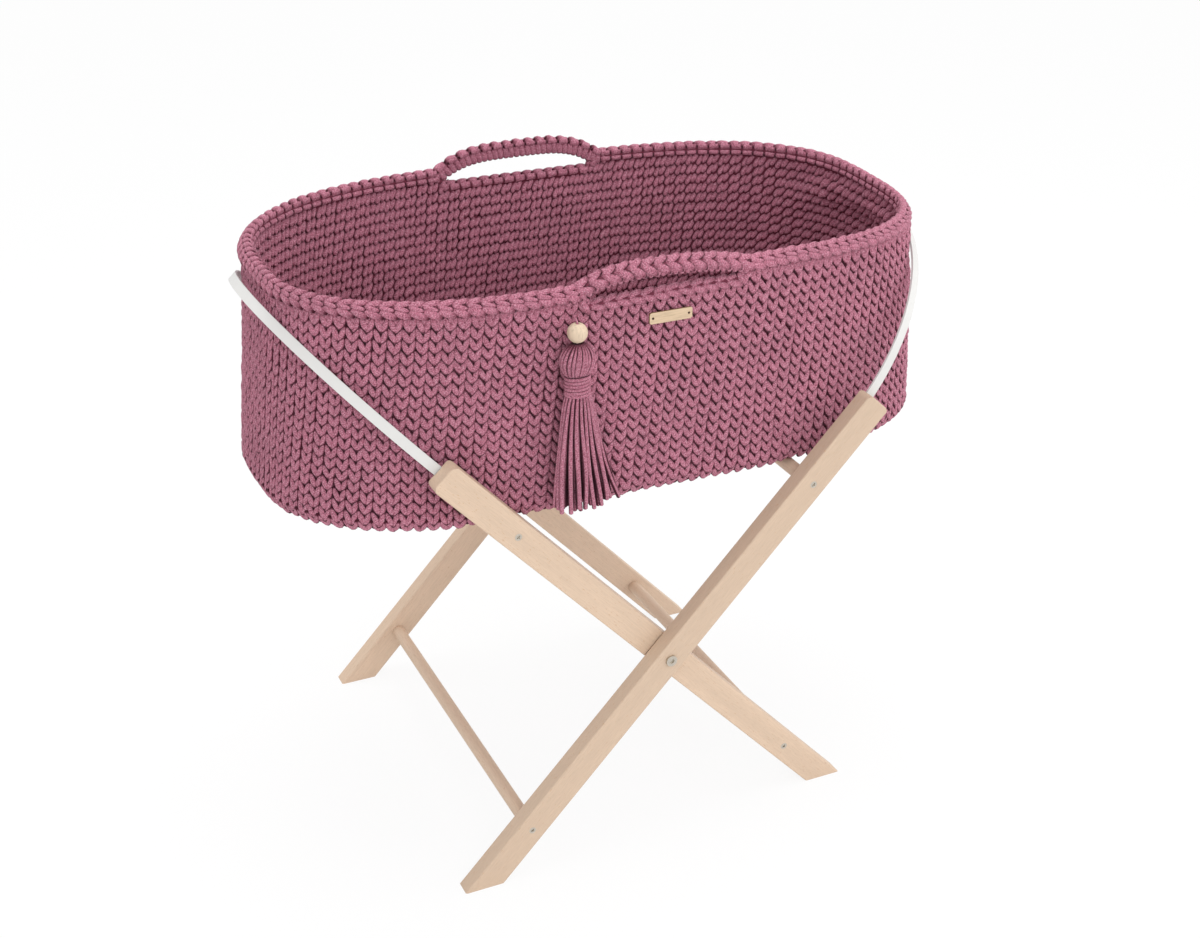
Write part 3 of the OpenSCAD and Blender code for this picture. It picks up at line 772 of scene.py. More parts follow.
def v_stitch(bm, middle, along, up, face):
    """One V: two lobes that meet at the bottom, proud of the stitch below; the right one is the longer."""
    for side, shape, lean, tilt, size, rise in V_SIDES:
        lean += wobble(0.08)
        way = up * cos(lean) + along * sin(lean)
        way = way * cos(tilt) - face * sin(tilt)
        centre = middle + along * side * V_SPREAD + up * rise + stray(V_STRAY)
        lay(bm, shape, centre, way, face, varied(size, 0.07))


def wall_outside():
    meshes = [bmesh.new() for quarter in QUARTERS]
    for row in range(rows):
        drop = (row + 0.55) * ROW
        level, inset, lean = wall_place(drop)
        oval = wall_oval(level, inset)
        for column in range(columns):
            share = (column + 0.5) / columns
            wander = sway(share, drop) * OUTSIDE_WANDER
            point, along, out = oval.at(share + wander - row * V_DRIFT / oval.girth)
            if row == 0 and dip_share(point) == 1:
                continue
            face = out * cos(lean) - UP * sin(lean)
            up = out * sin(lean) + UP * cos(lean)
            lump = sin(share * tau * 5 + drop * 19) * LUMP - V_SINK
            middle = point + UP * (wall_floor + level) + settle(point, level) + face * lump
            bm = meshes[quarter_of(share)]
            v_stitch(bm, middle, along, up, face)
            if row == 0:
                mouth = middle + up * TOP_BUMP_RISE - face * TOP_BUMP_SINK
                lay(bm, bean, mouth, up, face, TOP_BUMP_SIZE)
    wall_pieces(meshes, "wall_stitches")


BUMP_SIZE = mm(3.45, 3.5, 8.1)
BUMP_SPREAD = 3.3 * MM
BUMP_LEANS = (radians(31), radians(36))
BUMP_TILT = radians(15)
BUMP_STEP = 1.0 * MM
BUMP_STRAY = mm(0.35, 0.35, 0.6)
BUMP_SWAY = 0.4 * MM


def bump_pair(bm, middle, along, out):
    """Two slanted lobes of the wall's inside, one a step lower."""
    for side, lean in zip((1, -1), BUMP_LEANS):
        lean += wobble(0.09)
        way = UP * cos(lean) - along * sin(lean)
        way = way * cos(BUMP_TILT) + out * sin(BUMP_TILT)
        centre = middle + along * side * BUMP_SPREAD - UP * side * BUMP_STEP + stray(BUMP_STRAY)
        lay(bm, bean, centre, way, -out, varied(BUMP_SIZE, 0.09))


def wall_inside():
    meshes = [bmesh.new() for quarter in QUARTERS]
    for row in range(inside_rows):
        level = wall_height - (row + 0.6) * ROW
        oval = wall_oval(level, WALL_THICK - V_SINK)
        for column in range(columns):
            share = (column + 0.2) / columns
            wander = sway(share, level) * INSIDE_WANDER
            point, along, out = oval.at(share + wander + row * V_DRIFT / oval.girth)
            if row == 0 and dip_share(point) == 1:
                continue
            height = wall_floor + level + sway(share + 0.2, level) * BUMP_SWAY
            middle = point + UP * height + settle(point, level)
            bump_pair(meshes[quarter_of(share)], middle, along, out)
    wall_pieces(meshes, "wall_bumps")


RING_POINTS = 160


def ring_of(bm, oval, height, level, dip=0.0):
    """A closed ring of points along an oval, lower by a dip under the handles."""
    ring = ops.create_circle(bm, segments=RING_POINTS, radius=1)["verts"]
    for i, vert in enumerate(ring):
        point = oval.point(i / RING_POINTS)
        vert.co = point + UP * (height - dip * dip_share(point)) + settle(point, level)
    return ring


# How deep in the wall its core's two faces are, how far the core's edge dips, and how many rings a face has
CORE_SKINS = mm(4.6, 7.8)
CORE_DIP = HANDLE_DIP - 4 * MM
CORE_STEPS = 20


def wall_core():
    """The sheet of cord between the two faces of stitches."""
    bm = bmesh.new()
    loops = []
    for skin, order in zip(CORE_SKINS, (range(CORE_STEPS + 1), range(CORE_STEPS, -1, -1))):
        for step in order:
            level, inset, lean = wall_place(wall_girth * step / CORE_STEPS)
            oval = wall_oval(level, inset + skin * cos(lean))
            height = wall_floor + level + skin * sin(lean)
            dip = CORE_DIP if step == 0 else 0
            loops.append(ring_edges(ring_of(bm, oval, height, level, dip)))
    for near, far in zip(loops, loops[1:] + loops[:1]):
        ops.bridge_loops(bm, edges=near + far)
    ops.recalc_face_normals(bm, faces=bm.faces)
    smooth(bm)
    crochet_piece(bm, "wall_core", painted_shade_core_finish, "basket_wall")


# Base: rounds of the same stitch, worked outwards

base_low, base_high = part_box("basket_base")
BASE_CORE = 3 * MM


def base_rounds(name, face, height, inset):
    """One face of the base, from a distance inside its edge to its middle."""
    bm = bmesh.new()
    while inset < FOOT_HALF[1] - ROW / 4:
        oval = Oval(FOOT_HALF[0] - inset, FOOT_HALF[1] - inset, FOOT_SQUARE)
        count = max(12, round(oval.girth / COLUMN))
        for column in range(count):
            point, along, out = oval.at((column + wobble(0.06)) / count)
            for side in (-1, 1):
                lean = side * (V_RIGHT_LEAN + wobble(0.06))
                way = out * cos(lean) + along * sin(lean) - face * sin(V_TILT)
                centre = point + UP * height + along * side * V_SPREAD + settle(point, 0)
                lay(bm, base_bean, centre, way, face, varied(BUMP_SIZE, 0.06))
        inset += ROW
    crochet_piece(bm, name, cord_finish, "basket_base")


def base_core():
    """The sheet of cord between the base's two faces, in strips from front to rear."""
    bm = bmesh.new()
    oval = Oval(FOOT_HALF[0] - FOOT_ROUND / 2, FOOT_HALF[1] - FOOT_ROUND / 2, FOOT_SQUARE)
    ring = ring_of(bm, oval, (base_low.z + base_high.z - BASE_CORE) / 2, 0)
    ops.edgeloop_fill(bm, edges=ring_edges(ring))
    for step in range(1 - RING_POINTS // 4, RING_POINTS // 4):
        front = ring[step]
        rear = ring[RING_POINTS // 2 - step]
        shared = next(face for face in front.link_faces if face in rear.link_faces)
        bmesh.utils.face_split(shared, front, rear)
    raised = ops.extrude_face_region(bm, geom=list(bm.faces))["geom"]
    ops.translate(bm, vec=UP * BASE_CORE, verts=verts_of(raised))
    ops.recalc_face_normals(bm, faces=bm.faces)
    crochet_piece(bm, "base_core", painted_shade_core_finish, "basket_base")


# Rim: a plait of chevrons that arches into the two handles; under each handle a thinner one edges the wall

rim_level = wall_top + BRAID_RADIUS * cos(pi / 8)
rim_oval = Oval(RIM_HALF[0] - WALL_THICK / 2, RIM_HALF[1] - WALL_THICK / 2, RIM_SQUARE)
rim_links = round(rim_oval.girth / COLUMN)

PLAIT_FACE = radians(38)
PLAIT_LEAN = radians(18)
HANDLE_LEAN = radians(14)
PLAIT_SPREAD = 3.1 * MM
RIM_SPREAD = 4.3 * MM
PLAIT_SINK = 3.0 * MM
# The two lobes of a link and their half sizes, in a handle and on the rim
HANDLE_LINK = (handle_lobes, mm(4.3, 4.2, 12.4))
RIM_LINK = (rim_lobes, mm(4.2, 4.1, 13.0))
SPINE_SIZE = mm(2.9, 3.0, 9.4)
SPINE_LEAN = radians(14)
SPINE_SINK = 4.6 * MM
BLOCK_SIZE = mm(4.6, 4.4, 7.3)
BLOCK_SET = 2.6 * MM
BLOCK_RISE = 3.8 * MM
EDGE_BLOCK_RISE = 0.8 * MM
# Half sizes of the lobes below the plait, and where they are, outwards and upwards from its middle
BAR_SIZE = mm(3.3, 3.3, 7.4)
BAR_PLACE = mm(-4.2, -3.6)
POST_SIZE = mm(4.2, 3.3, 7.6)
POST_PLACE = mm(-3.0, -4.2)
TUCK_SIZE = mm(3.7, 3.5, 5.6)
TUCK_PLACE = mm(3.6, -5.0)
ROOT_SIZE = mm(3.2, 3.0, 6.5)
ROOT_STEPS = (-7 * MM, 0.0, 7 * MM)
ROOT_REACHES = mm(4.6, -3.6)
ROOT_DROP = 3 * MM
FRONT_SKEW = 0.32
# The wall's edge under a handle: from which share of the dip on, how thick and how steep its plait is
EDGE_START = 0.2
EDGE_FULL = 0.92
EDGE_STEEP = -0.1
RIM_CORE = 5.4 * MM
HANDLE_CORE = 5 * MM


def handle_at(point):
    return FRONT_HANDLE if point.y < 0 else REAR_HANDLE


def handle_place(point):
    """Where a point is along its handle: -1 and 1 at the ends, beyond them on the rim."""
    middle, half = handle_at(point)[:2]
    return (point.x - middle) / half


def handle_share(point):
    """0 on the rim and at a handle's ends, 1 at a handle's middle."""
    return 1 - min(abs(handle_place(point)), 1) ** handle_at(point)[3]


def on_handle(point, front):
    return abs(handle_place(point)) < 1 and (point.y < 0) == front


def rim_middle(share, lifted):
    """Middle of the braid; the front handle's arch leans to the left."""
    point = rim_oval.point(share)
    skew = 1 - FRONT_SKEW * handle_place(point) if point.y < 0 else 1
    lift = handle_at(point)[2] * skew * handle_share(point) if lifted else -HANDLE_DIP * dip_share(point)
    return point + UP * (rim_level + lift) + settle(point, wall_height)


def rim_frame(share, lifted):
    """Middle of the braid, way along it, outwards and upwards."""
    along = (rim_middle(share + 0.001, lifted) - rim_middle(share - 0.001, lifted)).normalized()
    out = along.cross(UP).normalized()
    return rim_middle(share, lifted), along, out, out.cross(along)


def plait_ways(out, up):
    """The way that the plait faces, and the way across it."""
    face = out * cos(PLAIT_FACE) + up * sin(PLAIT_FACE)
    return face, up * cos(PLAIT_FACE) - out * sin(PLAIT_FACE)


def plait_link(bm, share, lifted, full, steep, spread, kind):
    """Two lobes that meet at the link's near end and open along the rim, and a block behind them."""
    middle, along, out, up = rim_frame(share, lifted)
    face, across = plait_ways(out, up)
    lobes, size = kind
    for side, shape in zip((1, -1), lobes):
        lean = side * (PLAIT_LEAN + HANDLE_LEAN * steep + wobble(0.06))
        way = along * cos(lean) + across * sin(lean) + face * 0.08
        centre = middle + (face * PLAIT_SINK + across * side * spread) * full + along * wobble(0.6 * MM)
        width, depth, length = varied(size, 0.07)
        lay(bm, shape, centre, way, face, (width * full, depth * full, length))
    rise = BLOCK_RISE if lifted else EDGE_BLOCK_RISE
    centre = middle - out * BLOCK_SET * full + up * rise * full
    way = along + up * (wobble(0.08) - 0.1)
    lay(bm, block, centre, way, -out, varied(BLOCK_SIZE, 0.04))


def rim_bar(bm, share):
    """The bar below a block, on the inside of the rim."""
    middle, along, out, up = rim_frame(share, True)
    centre = middle + out * BAR_PLACE[0] + up * BAR_PLACE[1]
    lay(bm, block, centre, along + up * wobble(0.08), -out, BAR_SIZE)


def rim_spine(bm, share):
    """The lobe between the upper and the lower one of a link, slanted the other way."""
    middle, along, out, up = rim_frame(share, True)
    face, across = plait_ways(out, up)
    lean = SPINE_LEAN + wobble(0.08)
    way = along * cos(lean) - across * sin(lean)
    lay(bm, spine_lobe, middle + face * SPINE_SINK, way, face, SPINE_SIZE)


def handle_posts(bm, share, full):
    """The upright lobes inside a handle, below its blocks, and the short slanted ones below its plait."""
    for half in (-0.25, 0.25):
        middle, along, out, up = rim_frame(share + half / rim_links, True)
        centre = middle + out * POST_PLACE[0] + up * POST_PLACE[1] * full
        lay(bm, post, centre, up + along * (0.15 + wobble(0.1)), -out, POST_SIZE)
        centre = middle + out * TUCK_PLACE[0] + up * TUCK_PLACE[1] * full
        lay(bm, bean, centre, up * 0.75 + along * 0.5, out, TUCK_SIZE)


def handle_root(bm, front, end):
    """The bunch of stitches where a handle leaves the rim, at a place along X."""
    shares = np.arange(2000) / 2000
    points = [rim_oval.point(share) for share in shares]
    near = [(point.y < 0) == front and abs(point.x - end) < 2 * MM for point in points]
    for step in ROOT_STEPS:
        middle, along, out, up = rim_frame(shares[near.index(True)] + step / rim_oval.girth, True)
        for reach in ROOT_REACHES:
            centre = middle + out * reach - UP * (ROOT_DROP + abs(step) * 0.2)
            lay(bm, bean, centre, UP + along * wobble(0.35), out * reach, ROOT_SIZE)


def links_where(test):
    """The middles of the links whose point passes a test, as shares of the girth."""
    shares = [(link + 0.5) / rim_links for link in range(rim_links)]
    return [share for share in shares if test(rim_oval.point(share))]


def rim_half(node, right):
    bm = bmesh.new()
    for share in links_where(lambda point: abs(handle_place(point)) >= 1 and (point.x >= 0) == right):
        plait_link(bm, share, True, 1, 0, RIM_SPREAD, RIM_LINK)
        rim_bar(bm, share)
        rim_spine(bm, share)
    crochet_piece(bm, f"{node}_plait", cord_finish, node)


def handle(node, front):
    bm = bmesh.new()
    for share in links_where(lambda point: on_handle(point, front)):
        rise = handle_share(rim_oval.point(share))
        full = 1 + HANDLE_SWELL * rise
        spread = RIM_SPREAD + (PLAIT_SPREAD - RIM_SPREAD) * min(rise * 4, 1)
        plait_link(bm, share, True, full, rise, spread, HANDLE_LINK)
        handle_posts(bm, share, full)
    middle, half = (FRONT_HANDLE if front else REAR_HANDLE)[:2]
    for end in (middle - half, middle + half):
        handle_root(bm, front, end)
    crochet_piece(bm, f"{node}_plait", cord_finish, node)


def edge_under_handles():
    """The wall's own top edge where a handle leaves it."""
    bm = bmesh.new()
    for share in links_where(lambda point: dip_share(point) > EDGE_START):
        plait_link(bm, share, False, EDGE_FULL, EDGE_STEEP, PLAIT_SPREAD, RIM_LINK)
    crochet_piece(bm, "wall_edge_plait", cord_finish, "basket_wall")


def rim_core():
    """Cord inside the braid, round the rim and along the wall's edge under the handles."""
    steps = 240
    bm = bmesh.new()
    cord_along(bm, [rim_middle(step / steps, False) for step in range(steps + 1)], RIM_CORE)
    crochet_piece(bm, "rim_core", painted_shade_core_finish, "rim_left", "rim_right")


def handle_core(node, front):
    steps = 400
    bm = bmesh.new()
    shares = [step / steps - 0.25 for step in range(steps + 1)]
    line = [rim_middle(share, True) for share in shares if on_handle(rim_oval.point(share), front)]
    cord_along(bm, line, HANDLE_CORE)
    crochet_piece(bm, f"{node}_core", painted_shade_core_finish, node)


# Tassel: looped cords over a knob, a wound band and a skirt of loose strands, below a bead on a cord

bead_low, bead_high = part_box("bead")
head_low, head_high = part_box("tassel_head")
band_low, band_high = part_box("tassel_band")
skirt_low, skirt_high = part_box("tassel_skirt")
cord_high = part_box("tassel_cord")[1]
tassel_axis = Vector(((bead_low.x + bead_high.x) / 2, (bead_low.y + bead_high.y) / 2, 0))
STRAND = 2.5 * MM
HEAD_CORDS = 24
HEAD_TWIST = 0.3
WRAP_TURNS = 6
BAND_RAISED = 3 * MM


def even_turn(share):
    """The turn that spaces cords evenly round the flat tassel."""
    turn = tau * share
    return turn + 0.12 * sin(2 * turn)


def around_tassel(turn, half_width, half_depth, height):
    return tassel_axis + Vector((half_width * cos(turn), half_depth * sin(turn), height))


def head_girth(share, waist):
    """Width of the head from the band, at 0, to the bead, at 1."""
    ends = waist + (0.3 - waist) * share
    return ends + (1 - ends) * sin(pi * share) ** 0.66


def tassel_head():
    bm = bmesh.new()
    half_width = (head_high.x - head_low.x) / 2 - STRAND * 0.6
    half_depth = (head_high.y - head_low.y) / 2 - STRAND
    waist = (band_high.x - band_low.x) / (head_high.x - head_low.x) * 0.7
    foot = band_high.z + BAND_RAISED - 1 * MM
    tall = head_high.z - 0.8 * MM - foot
    steps = 14
    for cord in range(HEAD_CORDS):
        turn = even_turn((cord + 0.5) / HEAD_CORDS) + wobble(0.05)
        line = []
        for step in range(steps + 1):
            share = step / steps
            girth = head_girth(share, waist) * (1 + wobble(0.012))
            swirl = turn + HEAD_TWIST * (share - 0.5)
            line.append(around_tassel(swirl, half_width * girth, half_depth * girth, foot + tall * share))
        radius = STRAND * 0.86 * (1 + wobble(0.06))
        # A little painted light on each cord's outer side, painted shade on its inner side
        cord_along(bm, line, radius, flat=half_depth / half_width, lit=0.03, slim=(0.75, 0.45))
    # The knob under the cords gets no painted light value, so the material paints it in the darkest shade
    made = ops.create_uvsphere(bm, u_segments=16, v_segments=10, radius=1)
    for vert in made["verts"]:
        x, y, z = vert.co
        vert.co = tassel_axis + Vector((x * half_width, y * half_depth, foot + tall / 2 + z * tall * 0.47))
    smooth(bm)
    to_piece(bm, "tassel_head_cords", tassel_finish, "tassel", "tassel_cotton", "tassel_head")


def tassel_band():
    """One cord wound round the neck; every turn shows in front."""
    bm = bmesh.new()
    steps = 28
    tall = band_high.z + BAND_RAISED - band_low.z
    radius = tall / WRAP_TURNS / 2 * 1.04
    half_width = (band_high.x - band_low.x) / 2 - radius * 1.3
    half_depth = (band_high.y - band_low.y) / 2 - radius * 0.8
    line = []
    for step in range(WRAP_TURNS * steps + 1):
        turn = pi / 2 + tau * step / steps
        share = (step / steps - 0.5) / (WRAP_TURNS - 1)
        height = band_low.z + radius + (tall - 2 * radius) * min(max(share, 0), 1)
        line.append(around_tassel(turn, half_width, half_depth, height))
    # A little painted light on the cord's outer side, painted shade on its inner side
    cord_along(bm, line, radius, flat=half_depth / half_width, lit=0.05)
    to_piece(bm, "tassel_band_winding", tassel_finish, "tassel", "tassel_cotton", "tassel_band")


# Of each ring of strands: how many, their share of the width at the band and at their ends, and how lit: the
# painted light they get, lower for the inner rings, which are painted in shade
SKIRT_RINGS = ((21, 0.76, 0.97, 0.08), (14, 0.5, 0.68, -0.25), (8, 0.2, 0.36, -0.4))
# How far strands start inside the band, and how far their ends flick and drift to the right
SKIRT_HIDDEN = 4 * MM
FLICK = 22 * MM
DRIFT = 6 * MM


def tassel_skirt():
    bm = bmesh.new()
    top_width = (band_high.x - band_low.x) / 2
    top_depth = (band_high.y - band_low.y) / 2
    end_width = (skirt_high.x - skirt_low.x) / 2 - STRAND
    end_depth = (skirt_high.y - skirt_low.y) / 2 - STRAND
    steps = 12
    for count, near, far, lit in SKIRT_RINGS:
        for strand in range(count):
            turn = even_turn((strand + 0.5) / count) + wobble(0.09)
            length = (skirt_high.z - skirt_low.z) * (1 + wobble(0.045)) - 3 * MM
            bend = wobble(2.8 * MM)
            reach = far * (1 + wobble(0.1))
            flick = FLICK * max(cos(turn) - 0.7, 0)
            line = []
            for step in range(steps + 1):
                share = step / steps
                fan = share ** 0.7
                half_width = top_width * near * (1 - fan) + end_width * reach * fan
                half_depth = top_depth * near * (1 - fan) + end_depth * reach * fan
                height = skirt_high.z + SKIRT_HIDDEN - (length + SKIRT_HIDDEN) * share
                wave = sin(share * 5 + turn * 3) * bend * share
                wave += flick * share ** 4 + DRIFT * share ** 1.5
                line.append(around_tassel(turn, half_width, half_depth, height) + Vector((wave, 0, 0)))
            radius = STRAND * (1 + wobble(0.08))
            cord_along(bm, line, radius, flat=end_depth / end_width, lit=lit, slim=(0.55, 1.0))
    to_piece(bm, "tassel_skirt_strands", tassel_finish, "tassel", "tassel_cotton", "tassel_skirt")


HANGING_CORD = 1.2 * MM
CORD_INSET = 2 * MM
CORD_ARCH = 6 * MM


def tassel_cord():
    """The cord out of the wall, over an arch, and down through the bead into the head."""
    bm = bmesh.new()
    start = Vector((tassel_axis.x, cord_high.y - CORD_INSET, cord_high.z - CORD_INSET))
    reach = tassel_axis.y - start.y
    line = [start]
    for step in range(1, 9):
        turn = pi / 2 * step / 8
        line.append(start + Vector((0, reach * sin(turn), CORD_ARCH * (cos(turn) - 1))))
    line.append(tassel_axis + UP * bead_low.z)
    line.append(tassel_axis + UP * (head_high.z - 1 * MM))
    cord_along(bm, line, HANGING_CORD)
    to_piece(bm, "tassel_hanging_cord", tassel_finish, "tassel", "tassel_cotton", "tassel_cord")


BEAD_HOLE = 1.6 * MM
BEAD_EDGE = 0.5 * MM
HAIR = 0.01 * MM


def bead():
    """Turned ball with flats and a drilled hole."""
    bm = bmesh.new()
    radius = (bead_high.x - bead_low.x) / 2
    flat = (bead_high.z - bead_low.z) / 2
    middle = tassel_axis + UP * (bead_low.z + bead_high.z) / 2
    rise = asin(flat / radius)
    profile = [(BEAD_HOLE, -flat)]
    profile += [(radius * cos(a), radius * sin(a)) for a in np.linspace(-rise, rise, 15)]
    profile += [(BEAD_HOLE, flat)]
    verts = [bm.verts.new(middle + Vector((x, 0, z))) for x, z in profile]
    edges = [bm.edges.new(pair) for pair in zip(verts, verts[1:] + verts[:1])]
    ops.spin(bm, geom=verts + edges, cent=middle, axis=UP, angle=tau, steps=40, use_merge=True)
    ops.remove_doubles(bm, verts=bm.verts, dist=HAIR)
    ops.recalc_face_normals(bm, faces=bm.faces)
    ends = [edge for edge in bm.edges if abs(abs(edge.verts[0].co.z - middle.z) - flat) < HAIR]
    rims = [edge for edge in ends if edge.calc_face_angle(0) > 0.2]
    ops.bevel(bm, geom=rims, offset=BEAD_EDGE, affect="EDGES", segments=2, profile=0.5, material=-1)
    smooth(bm)
    wood = turned_wood("bead_wood", BEAD_WOOD, (500, 500, 40))
    to_piece(bm, "wooden_bead", wood, "tassel", "bead_wood", "bead")


# Tag: a bare wooden plate sewn on through a hole at each end

tag_low, tag_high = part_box("tag")
tag_middle = (tag_low + tag_high) / 2
tag_half = (tag_high - tag_low) / 2
hole_place = tag_half.x - tag_half.z * 0.64
TAG_CORNER = 2.5 * MM
TAG_EDGE = 0.4 * MM
TAG_HOLE = 1.25 * MM
TAG_GRAIN = (60, 700, 900)
TAG_THREAD = 1.1 * MM


def tag_plate():
    bm = bmesh.new()
    made = ops.create_grid(bm, x_segments=1, y_segments=1, size=1)["verts"]
    for vert in made:
        vert.co = Vector((vert.co.x * tag_half.x, 0, vert.co.y * tag_half.z))
    ops.bevel(bm, geom=made, offset=TAG_CORNER, affect="VERTICES", segments=5, profile=0.5, material=-1)
    ops.delete(bm, geom=list(bm.faces), context="FACES_ONLY")
    for side in (-1, 1):
        for vert in ops.create_circle(bm, segments=16, radius=TAG_HOLE)["verts"]:
            vert.co = Vector((vert.co.x + side * hole_place, 0, vert.co.y))
    faces = faces_of(ops.triangle_fill(bm, use_beauty=True, edges=bm.edges)["geom"])
    raised = verts_of(ops.extrude_face_region(bm, geom=faces)["geom"])
    ops.translate(bm, vec=(0, 2 * tag_half.y, 0), verts=raised)
    ops.recalc_face_normals(bm, faces=bm.faces)
    rims = [edge for edge in bm.edges if edge.calc_face_angle(0) > 1.2]
    ops.bevel(bm, geom=rims, offset=TAG_EDGE, affect="EDGES", segments=2, profile=0.5, material=-1)
    ops.translate(bm, vec=tag_middle - Vector((0, tag_half.y, 0)), verts=bm.verts)
    for face in bm.faces:
        face.material_index = 1 if abs(face.normal.y) < 0.5 else 0
    wood = turned_wood("tag_wood", TAG_WOOD, TAG_GRAIN)
    plate = to_piece(bm, "wooden_tag", wood, "basket", "tag_wood", "tag")
    plate.data.materials.append(turned_wood("scorched_wood", SCORCHED, TAG_GRAIN))


def tag_threads():
    bm = bmesh.new()
    for side in (-1, 1):
        start = tag_middle + Vector((side * hole_place, tag_half.y + 3 * MM, 0))
        line = [start - Vector((0, step * 1.2 * MM, 0)) for step in range(5)]
        cord_along(bm, line, TAG_THREAD)
    to_piece(bm, "tag_sewing_threads", dark_thread("dark_thread"), "basket", "thread", "tag_threads")


# Straps: webbing round both upper dowels, sewn back on itself

STRAP_THICK = 1.6 * MM
STRAP_TAIL = 53 * MM
STRAP_GAP = 0.3 * MM
STRAP_STRIPS = 4
dowel_level = (dowel_low.z + dowel_high.z) / 2
strap_turn = (dowel_high.z - dowel_low.z) / 2 + STRAP_GAP + STRAP_THICK / 2


def strap_line():
    """A strap seen from the front: a tail, a loop round the left dowel, the span, and the same mirrored."""
    top = dowel_level + strap_turn
    turns = [radians(60 - 330 * step / 24) for step in range(25)]
    loop = [Vector((cos(turn), 0, sin(turn))) * strap_turn for turn in turns]
    loop = [Vector((-dowel_place, 0, dowel_level)) + point for point in loop]
    tail = Vector((STRAP_TAIL - dowel_place, 0, top - STRAP_THICK))
    left = [tail, (tail + loop[0]) / 2] + loop
    span = [Vector((dowel_place * (step / 6 - 1), 0, top)) for step in range(1, 12)]
    return left + span + [Vector((-point.x, 0, point.z)) for point in reversed(left)]


def strap(node):
    low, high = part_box(node)
    middle = (low.y + high.y) / 2
    line = strap_line()
    bm = bmesh.new()
    ops.create_grid(bm, x_segments=len(line) - 1, y_segments=STRAP_STRIPS, size=1)
    for vert in bm.verts:
        step = round((vert.co.x + 1) / 2 * (len(line) - 1))
        vert.co = line[step] + Vector((0, middle + vert.co.y * (high.y - low.y) / 2, 0))
    ops.solidify(bm, geom=bm.faces, thickness=STRAP_THICK / 2)
    ops.recalc_face_normals(bm, faces=bm.faces)
    smooth(bm)
    piece = to_object(bm, f"{node}_webbing", tape_finish)
    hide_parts(node)
    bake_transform(piece)


# Camera, light and floor

FOCAL_PIXELS = 1740.3
PHOTO_WIDTH = 1200
SENSOR = 36.0
CAMERA_PLACE = (-0.7617, -1.6801, 1.2998)
AZIMUTH = radians(-25.05)
ELEVATION = radians(26.75)
ROLL = radians(0.41)


def camera():
    data = bpy.data.cameras.new("camera")
    data.sensor_width = SENSOR
    data.lens = FOCAL_PIXELS / PHOTO_WIDTH * SENSOR
    view = in_scene("camera", data)
    level = Vector((cos(AZIMUTH), sin(AZIMUTH), 0))
    back = level.cross(UP) * cos(ELEVATION) + UP * sin(ELEVATION)
    upright = back.cross(level)
    right = level * cos(ROLL) + upright * sin(ROLL)
    top = upright * cos(ROLL) - level * sin(ROLL)
    turn = Matrix((right, top, back)).transposed().to_4x4()
    view.matrix_world = Matrix.Translation(CAMERA_PLACE) @ turn
    bpy.context.scene.camera = view


LAMP_TARGET = Vector((0, 0, 0.45))


def lamp(name, place, size, power):
    data = bpy.data.lights.new(name, "AREA")
    data.energy = power
    data.size = size
    light = in_scene(name, data)
    light.location = place
    light.rotation_mode = "QUATERNION"
    light.rotation_quaternion = (LAMP_TARGET - Vector(place)).to_track_quat("-Z", "Y")


SKY_LIGHT = 0.91
SKY_SEEN = 0.09
FLOOR_GLOW = 0.88


def sky():
    """White light from all round, a little stronger to the eye than on the object."""
    world = bpy.data.worlds.new("studio")
    bpy.context.scene.world = world
    world.use_nodes = True
    nodes = Nodes(world.node_tree)
    light = nodes.tree.nodes["Background"]
    light.inputs["Color"].default_value = WHITE
    nodes.feed(light.inputs["Strength"], nodes.seen_share() * SKY_SEEN + SKY_LIGHT)


def paper_floor():
    """A pale floor that glows to the eye, so that only soft shadows show on it."""
    bm = bmesh.new()
    ops.create_grid(bm, x_segments=1, y_segments=1, size=30)
    paper = Finish("floor_paper", Base_Color=(0.9, 0.9, 0.9, 1), Roughness=0.9)
    glow = paper.node("ShaderNodeEmission", None, {"Color": WHITE, "Strength": 1.0})
    shaded = Value(paper, paper.shader.outputs[0])
    shares = {0: paper.seen_share() * FLOOR_GLOW, 1: shaded, 2: glow}
    mixed = paper.node("ShaderNodeMixShader", None, shares)
    paper.feed(paper.tree.nodes["Material Output"].inputs["Surface"], mixed)
    to_object(bm, "floor", paper.material)


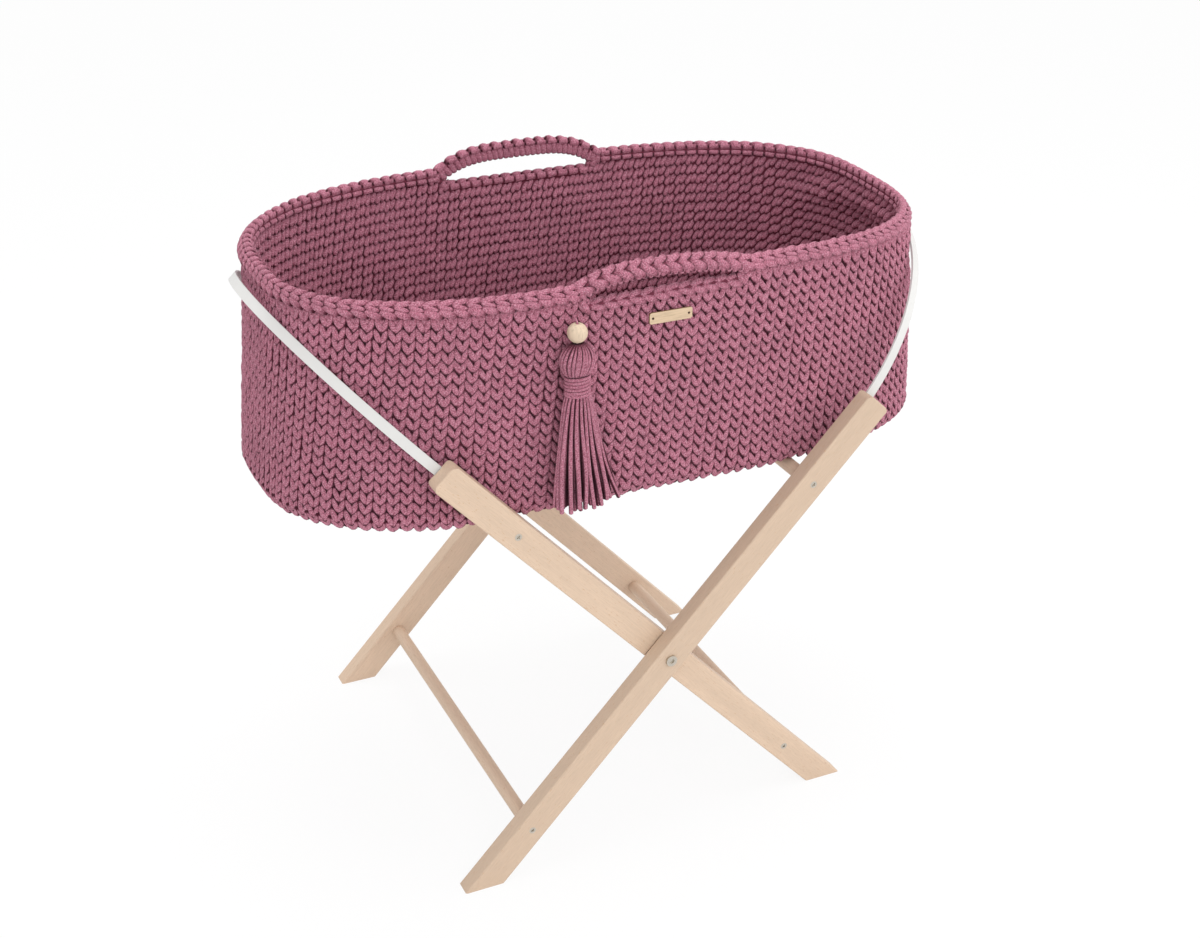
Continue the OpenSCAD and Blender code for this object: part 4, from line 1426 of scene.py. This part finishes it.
def studio():
    bpy.context.scene.view_settings.view_transform = "Standard"
    sky()
    lamp("key", (-0.3, -3.0, 2.2), 1.8, 28)
    lamp("fill", (2.6, -1.4, 1.6), 2.2, 17)
    lamp("top", (0.2, 0.3, 2.8), 2.0, 28)
    paper_floor()


# Stand: the solid pieces, finished

def finish_solids():
    outer_grain = (0, radians(47), 0)
    inner_grain = (0, radians(133), 0)
    # The dowels and the rear legs, in the basket's shade, get a lighter copy of the beech, painted light; the
    # outer front legs a slightly darker one, painted shade against the lamps' light; the inner front legs are
    # a lighter board
    dowel_wood_painted_light = beech("beech_dowel_painted_light", (0, 0, radians(90)), shade(BEECH, 1.07))
    paint = white_paint("hoop_paint")
    plate = plated_steel("nickel_plate")
    finishes = {
        "outer_leg_front": beech("beech_outer_front_painted_shade", outer_grain, shade(BEECH, 0.97)),
        "outer_leg_rear": beech("beech_outer_rear_painted_light", outer_grain, shade(BEECH, 1.1)),
        "inner_leg_front": beech("beech_inner_front", inner_grain, shade(BEECH, 1.08)),
        "inner_leg_rear": beech("beech_inner_rear_painted_light", inner_grain, shade(BEECH, 1.1)),
        "_dowel": dowel_wood_painted_light, "hoop": paint, "pivot_washers": nylon("washer_nylon"),
        "pivot_bolts": plate, "pivot_nuts": plate, "outer_screws": plate, "inner_screws": plate,
    }
    for node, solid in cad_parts.items():
        for part, material in finishes.items():
            if part in node:
                solid.data.materials.clear()
                solid.data.materials.append(material)


camera()
studio()
finish_solids()
wall_core()
wall_outside()
wall_inside()
base_rounds("base_under", -UP, base_low.z + V_SINK, FOOT_ROUND + ROW / 2)
base_rounds("base_inside", UP, base_high.z - V_SINK, WALL_THICK + ROW * 0.7)
base_core()
rim_core()
handle_core("front_handle", True)
handle_core("rear_handle", False)
rim_half("rim_left", False)
rim_half("rim_right", True)
handle("front_handle", True)
handle("rear_handle", False)
edge_under_handles()
tassel_cord()
bead()
tassel_head()
tassel_band()
tassel_skirt()
tag_plate()
tag_threads()
strap("strap_front")
strap("strap_rear")
